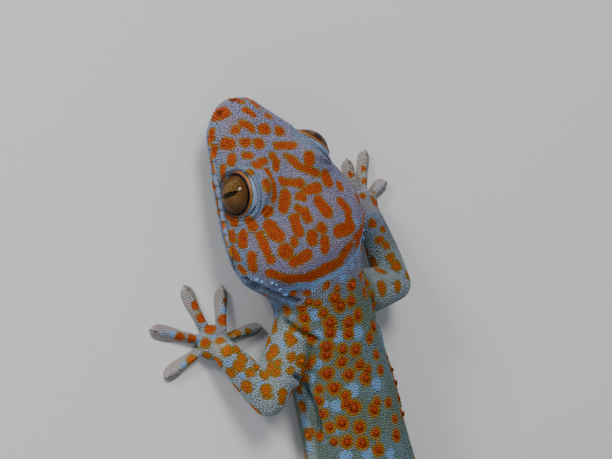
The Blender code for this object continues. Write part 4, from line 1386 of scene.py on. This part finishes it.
def scale_pitch(points):
    """How far apart scales sit: finest on the head, larger on snout, belly and tail, none over openings."""
    sizes = bpy.context.scene.gecko_scales
    station, degrees, beyond = body_coordinates(points)
    up = np.sin(np.radians(degrees))
    pitch = np.full(len(points), sizes.head / MM)
    pitch += (sizes.snout - sizes.head) / MM * smooth((11 - station) / 6)
    pitch += (sizes.back - sizes.head) / MM * smooth((station - 36) / 10)
    pitch += (sizes.tail - sizes.back) / MM * smooth((station - VENT) / 60)
    pitch += (sizes.belly / MM - pitch) * smooth((-up - 0.3) / 0.4) * smooth((station - 30) / 10)
    limb = smooth((beyond - 0.5) / 1.5) * (station > LIMB_START)
    pitch += (sizes.limb / MM - pitch) * limb
    for local in eye_locals(points):
        ring = eye_ring(local)
        pitch *= 1 - 0.28 * bell(ring - 1.35, 0.4) * (local[:, 2] > 0)
        pitch[(ring < 1.17) & (local[:, 2] > 0)] = 0
    mouth = degrees_from_mouth(degrees)
    lips = (station < LIP_SPAN[1] + 1) & (beyond < 1.5) & (mouth > -11.5) & (mouth < 11)
    pitch[lips] = 0
    for ear in on_both_sides(EAR_STATION, EAR_ANGLE):
        pitch[np.linalg.norm((points - ear) / (1, 1, 1.8), axis=1) < 0.85] = 0
    for nostril in on_both_sides(NOSTRIL_STATION, NOSTRIL_ANGLE):
        pitch[np.linalg.norm(points - nostril, axis=1) < 0.7] = 0
    pitch[points[:, 2] < 0.25] = 0
    return pitch


def scale_regions(points):
    """The name of the piece that each scale belongs to."""
    station, _, beyond = body_coordinates(points)
    leg, _, _, _ = leg_coordinates(points)
    cuts = np.array(list(REGION_STARTS.values()))
    region = np.array(list(REGION_STARTS), dtype=object)[np.searchsorted(cuts, station, "right") - 1]
    limb = on_limb(station, beyond)
    region[limb] = np.array(list(LEGS), dtype=object)[leg[limb]]
    return region


class ScalesOperator(bpy.types.Operator):
    """The small bead-like scales over the whole skin, in one piece for each region"""

    bl_idname = "gecko.scales"
    bl_label = "Scales"

    def execute(self, context):
        chance = np.random.default_rng(SCALE_SEED)
        sizes = context.scene.gecko_scales
        template = dome_template(sizes.sides, SCALE_DOME)
        places, normals, pitches = spread_over(_made["skin"], scale_pitch, chance)
        regions = scale_regions(places)
        fields = coat_fields(places)
        backs = lie_of_coat(places)
        spread = chance.uniform(0.9, 1.08, len(places))
        flat = smooth((pitches - 0.6) / 0.3)
        half = pitches * 0.53 * spread
        rise = pitches * sizes.rise * (1 - 0.35 * flat) * spread
        extents = np.stack([half * (1 + 0.12 * flat), half, rise], 1)
        leans = unit(normals + unit(backs) * (0.10 + 0.22 * flat)[:, None])
        for region in sorted(set(regions)):
            mine = regions == region
            part = {key: values[mine] for key, values in fields.items()}
            slot = "head_skin" if region in HEAD_REGIONS else "body_skin"
            slot = "leg_skin" if "leg" in region else slot
            lay_domes(
                f"scales_{region}", template, places[mine], leans[mine], backs[mine], extents[mine],
                part, scale_material(), slot,
            )
        return {"FINISHED"}


class FootScalesOperator(bpy.types.Operator):
    """The fine scales on the palms and the tops of the toes"""

    bl_idname = "gecko.foot_scales"
    bl_label = "Foot scales"

    def execute(self, context):
        chance = np.random.default_rng(FOOT_SCALE_SEED)
        sizes = context.scene.gecko_scales

        def pitch_at(points):
            fields = pad_fields(points)
            _, down, _, _ = leg_coordinates(points)
            pitch = np.full(len(points), sizes.foot / MM)
            pitch[(fields["pad"] > 0.35) | (points[:, 2] < 0.45)] = 0
            return pitch

        places, normals, pitches = spread_over(_made["feet"], pitch_at, chance)
        palms = np.array([joints[3] for joints in LEGS.values()])[leg_coordinates(places)[0]]
        backs = unit((places - palms) * (1, 1, 0) + (1e-3, 0, 0))
        extents = np.stack([pitches * 0.56, pitches * 0.5, pitches * sizes.rise * 0.8], 1)
        lay_domes(
            "scales_feet", dome_template(sizes.sides, SCALE_DOME), places, normals, backs, extents,
            foot_fields(places), scale_material(), "foot_skin",
        )
        return {"FINISHED"}


def tubercle_places(chance):
    """(place, radius) of each tubercle: one on each orange mark of the trunk, and rings on the tail."""
    found = []
    for start, end, radius in markings().body_spots:
        station, degrees, beyond = body_coordinates(np.array([(start + end) / 2]))
        if station[0] < 40 or beyond[0] > 2.5 or math.sin(math.radians(degrees[0])) < -0.25:
            continue
        size = min(radius, 1.35) * chance.uniform(0.50, 0.62)
        found.append((start if chance.uniform() < 0.5 else (start + end) / 2, size))
    for whorl in range(int((TAIL_END - VENT) / WHORL) - 3):
        station = VENT + (whorl + 0.8) * WHORL
        size = max(0.16, 0.55 * float(half_width(station)) / 7)
        found += [(body_surface(station, degrees), size) for degrees in TAIL_CONES]
    return found


class TuberclesOperator(bpy.types.Operator):
    """The larger blunt cones that stand in rows on the back and in rings on the tail"""

    bl_idname = "gecko.tubercles"
    bl_label = "Tubercles"

    def execute(self, context):
        chance = np.random.default_rng(TUBERCLE_SEED)
        found = tubercle_places(chance)
        beads = [(photo_point(x, y), width / PIXELS_PER_MM / 2) for x, y, width in BEAD_MARKS]
        beads = [bead for bead in beads if bead[0] is not None]
        beads += [(mirrored(place), radius) for place, radius in beads]
        pale = np.array([False] * len(found) + [True] * len(beads))
        found += beads
        points, triangles, normals, tree = _made["skin"]
        places, lies = snapped(np.array([place for place, _ in found]), tree, triangles, normals)
        sizes = np.array([size for _, size in found])
        keep = places[:, 2] > 1.0
        places, lies, sizes, pale = places[keep], lies[keep], sizes[keep], pale[keep]
        template = dome_template(TUBERCLE_SIDES, TUBERCLE_DOME)
        backs = lie_of_coat(places)
        fields = coat_fields(places)
        fields["orange"] = np.where(pale, -3.0, fields["orange"] + 0.9)
        fields["pale"] = np.where(pale, 2.0, fields["pale"])
        # The pale beads get no painted shade from the folds
        fields["crease_shade"] = np.where(pale, 0.0, fields["crease_shade"])
        rise = context.scene.gecko_scales.tubercle_rise
        extents = np.stack([sizes * 1.1, sizes, sizes * rise], 1)
        lay_domes(
            "tubercles", template, places, unit(lies + backs * 0.22), backs, extents, fields,
            scale_material(), "body_skin",
        )
        return {"FINISHED"}


def lip_strip(side, middle, height, rise):
    """A row of lip plates along one side: a strip whose top rises between grooves and whose edge is sunk."""

    def place(across, along):
        station = LIP_SPAN[0] + (LIP_SPAN[1] - LIP_SPAN[0]) * along
        angle = 2 * np.pi * across
        width = signed_power(np.cos(angle), 0.6)
        above = signed_power(np.sin(angle), 0.75)
        plate = (along * LIP_PLATES) % 1.0
        groove = smooth((np.abs(plate - 0.5) - LIP_GROOVE) / 0.14)
        ends = np.sqrt(np.clip(1 - np.abs(2 * along - 1) ** 10, 0, 1))
        narrow = 1 - 0.35 * along
        degrees = MOUTH_ANGLE + middle + 0.5 * height * LIP_SPREAD * width * narrow * ends
        degrees = degrees if side > 0 else 180 - degrees
        skin = body_surface(station, degrees, -SKIN_DEPTH)
        lift = np.where(above > 0, above * (rise * (1 - 0.75 * groove) + 0.05), 0.35 * above) * ends
        return skin + body_normal(station, degrees) * (lift - 0.05)[..., None]

    return mapped_grid(16, LIP_PLATES * 9, place)


class LipsOperator(bpy.types.Operator):
    """The rows of plates along the upper and lower lips"""

    bl_idname = "gecko.lips"
    bl_label = "Lip plates"

    def execute(self, context):
        mesh = joined([lip_strip(side, *row) for side in (1, -1) for row in LIP_ROWS])
        points = vertex_array(mesh)
        fields = coat_fields(points)
        # The lip plates get only a quarter of the painted shade of the folds
        fields["crease_shade"] *= 0.25
        station, _, _ = body_coordinates(points)
        plate = (station - LIP_SPAN[0]) / (LIP_SPAN[1] - LIP_SPAN[0]) * LIP_PLATES % 1.0
        # Low in the grooves between lip plates, where the finish paints shade
        fields["rise"] = 0.9 * (1 - smooth((np.abs(plate - 0.5) - LIP_GROOVE) / 0.12))
        add_fields(mesh, fields)
        piece = finish_piece("lip_plates", mesh, scale_material())
        patch = piece.data.uv_layers.new(name="OFBake")
        loops = np.empty(len(piece.data.loops), np.int32)
        piece.data.loops.foreach_get("vertex_index", loops)
        patch.data.foreach_set("uv", unwrap(points)[loops].astype(np.float32).ravel())
        return {"FINISHED"}


def eye_material():
    """Golden brown iris with fine streaks, a notched slit pupil, painted shade over its rear half and a black
    rim of dark skin and painted shadow, under a clear gloss.
    """
    colours = bpy.context.scene.gecko_eyes
    finish = Finish("eye_surface", roughness=0.5, ior=1.0, coat_weight=0.45, coat_roughness=0.02)
    finish.shader.inputs["Coat IOR"].default_value = 1.3
    along, upward, ring = finish.field("along"), finish.field("upward"), finish.field("ring")
    ways = {"X": finish.times(along, 2.6), "Y": finish.times(upward, 0.7)}
    streaks = finish.noise(1.6, 5, finish.node("ShaderNodeCombineXYZ", ways).outputs[0])
    iris = finish.mix(finish.between(streaks, 0.32, 0.68), rgba(colours.iris_dark_and_shade), rgba(colours.iris))
    iris = finish.stain(iris, finish.between(finish.noise(420, 3), 0.45, 0.75, 0.0, 0.5), colours.iris_light)
    jag = finish.times(finish.maths("SUBTRACT", finish.noise(1900, 2), 0.5), 0.42)
    width = finish.plus(finish.maths("ABSOLUTE", along), jag)
    taper = finish.between(finish.maths("ABSOLUTE", upward), 1.2, 3.1, 0.46, -0.25)
    pupil = finish.between(finish.maths("SUBTRACT", width, taper), -0.02, 0.05, 1.0, 0.0)
    iris = finish.stain(iris, pupil, colours.pupil)
    iris = finish.stain(iris, finish.times(finish.between(ring, 0.55, 0.95), 0.7), colours.iris_dark_and_shade)
    # Painted shade: the iris darker towards its rear, lighter towards the snout where the light falls
    iris = finish.stain(iris, finish.between(along, -3.4, 1.6, 0.75, 0.0), colours.iris_dark_and_shade)
    # A black ring at the edge of the opening: dark skin and painted shadow where the lid meets the eyeball
    iris = finish.stain(iris, finish.between(ring, 0.89, 0.93), colours.pupil)
    return finish.use(base_color=iris, normal=finish.bump(streaks, 0.00008, 0.25))


class EyesOperator(bpy.types.Operator):
    """Both eyeballs, with a clear bulge over the slit pupil"""

    bl_idname = "gecko.eyes"
    bl_label = "Eyes"

    def execute(self, context):
        material = eye_material()
        bulge = context.scene.gecko_eyes.bulge / MM
        for side, name in ((1, "left"), (-1, "right")):
            centre, rows = EYES[side]

            def ball(across, along):
                polar, turn = np.pi * along, 2 * np.pi * across
                away = np.sin(polar)
                ray = np.stack([away * np.cos(turn), away * np.sin(turn), np.cos(polar)], 1)
                radius = EYE_RADIUS + EYE_GROWTH * smooth((1.5 - polar) / 0.4) + bulge * bell(polar, 0.7)
                return centre + (ray * radius[:, None]) @ rows

            mesh = joined([mapped_grid(72, 72, ball)])
            local = (vertex_array(mesh) - centre) @ rows.T
            ring = np.where(local[:, 2] > 0, eye_ring(local), 2.0)
            middle, widening = (PUPIL[0], 0), 1.0
            if side < 0:
                middle, widening = ((photo_point(*FAR_PUPIL) - centre) @ rows.T)[:2], FAR_PUPIL_WIDENING
            upward = local[:, 1] - middle[1]
            aside = (local[:, 0] - middle[0] - PUPIL[1] * upward) * widening
            add_fields(mesh, {"along": aside, "upward": upward, "ring": ring})
            finish_piece(f"eyeball_{name}", mesh, material, [f"eye_{name}"])
        return {"FINISHED"}


def rim_material():
    """The margin of the lids: black against the eye, which is dark skin and painted shadow, an orange line, a
    thin line of painted shade, then the blue-grey of the folds.
    """
    colours = bpy.context.scene.gecko_colours
    finish = Finish("lid_margin", roughness=0.45, ior=1.42)
    uneven = finish.times(finish.maths("SUBTRACT", finish.noise(1500, 2), 0.5), 0.05)
    ring = finish.plus(finish.field("ring"), uneven)
    # Black against the eye: dark skin and painted shadow where the lid meets the eyeball
    colour = finish.mix(finish.between(ring, 1.03, 1.045), rgba(LID_DARK_AND_SHADOW), rgba(colours.mark))
    colour = finish.stain(colour, finish.between(ring, 1.045, 1.07), colours.rim)
    # A thin line of painted shade in the groove round the margin
    colour = finish.stain(colour, finish.between(ring, 1.075, 1.085), colours.seam)
    colour = finish.stain(colour, finish.between(ring, 1.09, 1.11), colours.cheek)
    return finish.use(base_color=colour, normal=finish.bump(finish.noise(2500, 2), 0.00008, 0.5))


class LidsOperator(bpy.types.Operator):
    """The raised margin round each eye"""

    bl_idname = "gecko.lids"
    bl_label = "Lid margins"

    def execute(self, context):
        shapes = []
        for centre, rows in EYES.values():

            def margin(across, along):
                turn, around = 2 * np.pi * across, 2 * np.pi * along
                ring = 1.085 - 0.125 * np.cos(around)
                above = 0.30 * np.sin(around) + 0.12 * np.sin(2 * around)
                height = EYE_RADIUS + 0.16 + np.where(np.sin(around) < 0, 0.5 * np.sin(around), above)
                x = OPENING_AHEAD + ring * OPENING[0] * np.cos(turn)
                y = ring * OPENING[1] * np.sin(turn)
                z = np.sqrt(np.maximum(0.1, height**2 - x**2 - y**2))
                return centre + np.stack([x, y, z], 1) @ rows

            shapes.append(mapped_grid(120, 20, margin))
        mesh = joined(shapes)
        left, right = eye_locals(vertex_array(mesh))
        nearer = np.linalg.norm(left, axis=1) < np.linalg.norm(right, axis=1)
        add_fields(mesh, {"ring": np.where(nearer, eye_ring(left), eye_ring(right))})
        finish_piece("lid_margins", mesh, rim_material())
        return {"FINISHED"}


def claw_material():
    """Dark horn, lighter at the root, with fine streaks."""
    finish = Finish("claw_horn", roughness=0.32, ior=1.5, coat_weight=0.3)
    height = finish.node("ShaderNodeSeparateXYZ", {0: finish.place()}).outputs["Z"]
    colour = finish.mix(finish.between(height, 0.0003, 0.0012), rgba(CLAW_DARK), rgba(CLAW_BASE))
    streak = finish.between(finish.noise(2200, 2), 0.4, 0.7, 0, 0.4)
    return finish.use(base_color=finish.stain(colour, streak, CLAW_STREAK))


class ClawsOperator(bpy.types.Operator):
    """The small hooked claws of all toes but the first of each foot"""

    bl_idname = "gecko.claws"
    bl_label = "Claws"

    def execute(self, context):
        shapes = []
        for _, number, start, direction, aside, length in all_toes():
            if number == 0:
                continue

            def claw(across, along):
                turn = 2 * np.pi * across
                place = length - CLAW_ROOT + (CLAW_LENGTH + CLAW_REACH) * along
                level = 0.85 + 0.36 * np.sin(np.pi * along) - 0.66 * along**2
                thick = CLAW_THICKNESS * np.sqrt(np.clip(1 - along**1.6, 0, 1))
                ring = aside * (np.cos(turn) * thick * 0.75)[:, None]
                ring = ring + (np.sin(turn) * thick)[:, None] * (0, 0, 1)
                return start + direction * place[:, None] + level[:, None] * (0, 0, 1) + ring

            shape = mapped_grid(12, 14, claw)
            bmesh.ops.holes_fill(shape, edges=[edge for edge in shape.edges if edge.is_boundary], sides=0)
            shapes.append(shape)
        finish_piece("claws", joined(shapes), claw_material())
        return {"FINISHED"}


def add_lamp(name, place, aim, size, energy, colour):
    data = bpy.data.lights.new(name, "AREA")
    data.shape = "DISK"
    data.size = size
    data.energy = energy
    data.color = colour
    lamp = bpy.data.objects.new(name, data)
    lamp.location = place
    lamp.rotation_euler = (Vector(aim) - Vector(place)).to_track_quat("-Z", "Y").to_euler()
    bpy.context.scene.collection.objects.link(lamp)


class StageOperator(bpy.types.Operator):
    """A plain pale floor, soft light and the camera at the photo's angle"""

    bl_idname = "gecko.stage"
    bl_label = "Stage"

    def execute(self, context):
        stage = context.scene.gecko_stage
        shape = bmesh.new()
        bmesh.ops.create_grid(shape, x_segments=1, y_segments=1, size=FLOOR_SIZE)
        mesh = bpy.data.meshes.new("floor")
        shape.to_mesh(mesh)
        shape.free()
        floor = bpy.data.objects.new("floor", mesh)
        context.scene.collection.objects.link(floor)
        finish = Finish("plain_floor", roughness=0.8)
        darker = [value * 0.97 for value in stage.floor]
        tone = finish.mix(finish.noise(6, 2), rgba(stage.floor), rgba(darker))
        mesh.materials.append(finish.use(base_color=tone))

        world = bpy.data.worlds.new("studio")
        world.use_nodes = True
        sky = world.node_tree.nodes["Background"].inputs
        sky["Color"].default_value = SKY
        sky["Strength"].default_value = stage.ambient
        context.scene.world = world

        right, up, towards = camera_axes()
        stand, _ = camera_place()
        target = (np.array(NECK_POINT) + SHIFT) * MM
        for name, (shares, distance, size, power, colour) in LAMPS.items():
            way = towards * shares[0] + right * shares[1] + up * shares[2]
            add_lamp(name, target + way * distance, target, size, stage.key * power, colour)

        data = bpy.data.cameras.new("camera")
        data.sensor_width = SENSOR
        data.lens = SENSOR * CAMERA_DISTANCE * PIXELS_PER_MM / PHOTO_SIZE[0]
        data.clip_start = 0.01
        camera = bpy.data.objects.new("camera", data)
        turn = Matrix((right, up, towards)).transposed().to_4x4()
        camera.matrix_world = Matrix.Translation((stand + SHIFT) * MM) @ turn
        context.scene.collection.objects.link(camera)
        context.scene.camera = camera
        return {"FINISHED"}


def colour_setting(name, description, default):
    return FloatVectorProperty(
        name=name, description=description, subtype="COLOR", size=3, min=0, max=1, default=default
    )


def number_setting(name, description, default, **more):
    return FloatProperty(name=name, description=description, min=0, default=default, **more)


def length_setting(name, description, default):
    return number_setting(name, description, default, unit="LENGTH", precision=5)


class ColourSettings(bpy.types.PropertyGroup):
    head: colour_setting("Head", "Ground colour of the head", (0.25, 0.235, 0.385))
    blush: colour_setting("Blush", "Pinkish patches in the ground colour of the head", (0.30, 0.235, 0.31))
    cheek: colour_setting("Cheeks", "Ground colour of the cheeks and round the eyes", (0.20, 0.27, 0.385))
    body: colour_setting("Body", "Ground colour of neck, trunk and tail", (0.14, 0.195, 0.15))
    limb: colour_setting("Limbs", "Ground colour of the legs", (0.33, 0.39, 0.385))
    belly: colour_setting("Belly", "Ground colour of the underside", (0.36, 0.38, 0.34))
    foot: colour_setting("Feet", "Ground colour of the feet", (0.42, 0.345, 0.285))
    pale: colour_setting("Pale marks", "Sky-blue marks in rows across the back", (0.18, 0.35, 0.62))
    dark: colour_setting("Specks", "Dark specks of the ground colour", (0.035, 0.045, 0.05))
    # The seam colour is painted shade: it darkens the grooves between scales, the folds and creases, and a
    # thin line round each lid margin
    seam: colour_setting("Seams", "Skin between the scales", (0.012, 0.012, 0.015))
    rim: colour_setting("Mark rims", "Yellowish rim of the orange marks", (0.26, 0.14, 0.006))
    mark: colour_setting("Marks", "Orange marks", (0.42, 0.06, 0.0))
    limb_mark: colour_setting("Limb marks", "Lighter orange marks of the legs and feet", (0.50, 0.125, 0.002))
    core: colour_setting("Mark cores", "Red middle of the marks on the trunk", (0.24, 0.024, 0.0))
    pad: colour_setting("Toe pads", "Thin edges of the toe pads", (0.4, 0.34, 0.315))
    pad_line: colour_setting("Pad lines", "Fine lines across the toe pads", (0.22, 0.17, 0.155))


class ScaleSettings(bpy.types.PropertyGroup):
    head: length_setting("Head pitch", "Distance between scales on the head", 0.00052)
    snout: length_setting("Snout pitch", "Distance between scales on the snout", 0.00068)
    back: length_setting("Back pitch", "Distance between scales on the back", 0.00058)
    belly: length_setting("Belly pitch", "Distance between scales on the underside", 0.0010)
    tail: length_setting("Tail pitch", "Distance between scales towards the tip of the tail", 0.00080)
    limb: length_setting("Limb pitch", "Distance between scales on the legs", 0.00060)
    foot: length_setting("Foot pitch", "Distance between scales on the feet", 0.00055)
    rise: number_setting("Rise", "Height of a scale as a share of its pitch", 0.30)
    tubercle_rise: FloatProperty(
        name="Tubercle rise", description="Height of a tubercle as a share of its radius", min=0, default=0.9
    )
    sides: IntProperty(name="Sides", description="Sides of each scale", min=5, max=8, default=6)


class EyeSettings(bpy.types.PropertyGroup):
    iris: colour_setting("Iris", "Golden brown of the iris", (0.165, 0.080, 0.022))
    # The iris's dark colour paints both its streaks and the painted shade over its rear half
    iris_dark_and_shade: colour_setting("Iris streaks", "Dark streaks of the iris", (0.045, 0.019, 0.005))
    iris_light: colour_setting("Iris flecks", "Light flecks of the iris", (0.27, 0.155, 0.05))
    # The pupil colour also paints the black rim of the eye, which is dark skin and painted shadow under the
    # lid
    pupil: colour_setting("Pupil", "Pupil and rim of the eye", (0.001, 0.001, 0.001))
    bulge: length_setting("Bulge", "How far the clear front of the eye stands out", 0.0006)


class StageSettings(bpy.types.PropertyGroup):
    floor: colour_setting("Floor", "Colour of the floor", (0.80, 0.80, 0.81))
    key: number_setting("Key light", "Power of the main light", 7.0, unit="POWER")
    ambient: FloatProperty(name="Ambient", description="Strength of the light all round", min=0, default=0.30)


class GeckoPanel(bpy.types.Panel):
    """The settings and the pieces of the gecko, in the order they are made"""

    bl_idname = "VIEW3D_PT_gecko"
    bl_label = "Gecko"
    bl_space_type = "VIEW_3D"
    bl_region_type = "UI"
    bl_category = "Gecko"

    def draw(self, context):
        for name, group in SETTINGS.items():
            box = self.layout.box()
            settings = getattr(context.scene, name)
            for key in group.__annotations__:
                box.prop(settings, key)
        for operator in OPERATORS:
            self.layout.operator(operator.bl_idname)


SETTINGS = {
    "gecko_colours": ColourSettings,
    "gecko_scales": ScaleSettings,
    "gecko_eyes": EyeSettings,
    "gecko_stage": StageSettings,
}
OPERATORS = (
    SkinOperator, FeetOperator, ScalesOperator, FootScalesOperator, TuberclesOperator, LipsOperator,
    EyesOperator, LidsOperator, ClawsOperator, StageOperator,
)


def register():
    for made in (*SETTINGS.values(), *OPERATORS, GeckoPanel):
        bpy.utils.register_class(made)
    for name, group in SETTINGS.items():
        setattr(bpy.types.Scene, name, PointerProperty(type=group))


def unregister():
    for name in SETTINGS:
        delattr(bpy.types.Scene, name)
    for made in reversed((*SETTINGS.values(), *OPERATORS, GeckoPanel)):
        bpy.utils.unregister_class(made)


def plain(bounds):
    return [[float(value) for value in corner] for corner in bounds]


def main():
    register()
    for operator in OPERATORS:
        group, name = operator.bl_idname.split(".")
        getattr(getattr(bpy.ops, group), name)()


if __name__ == "__main__":
    main()
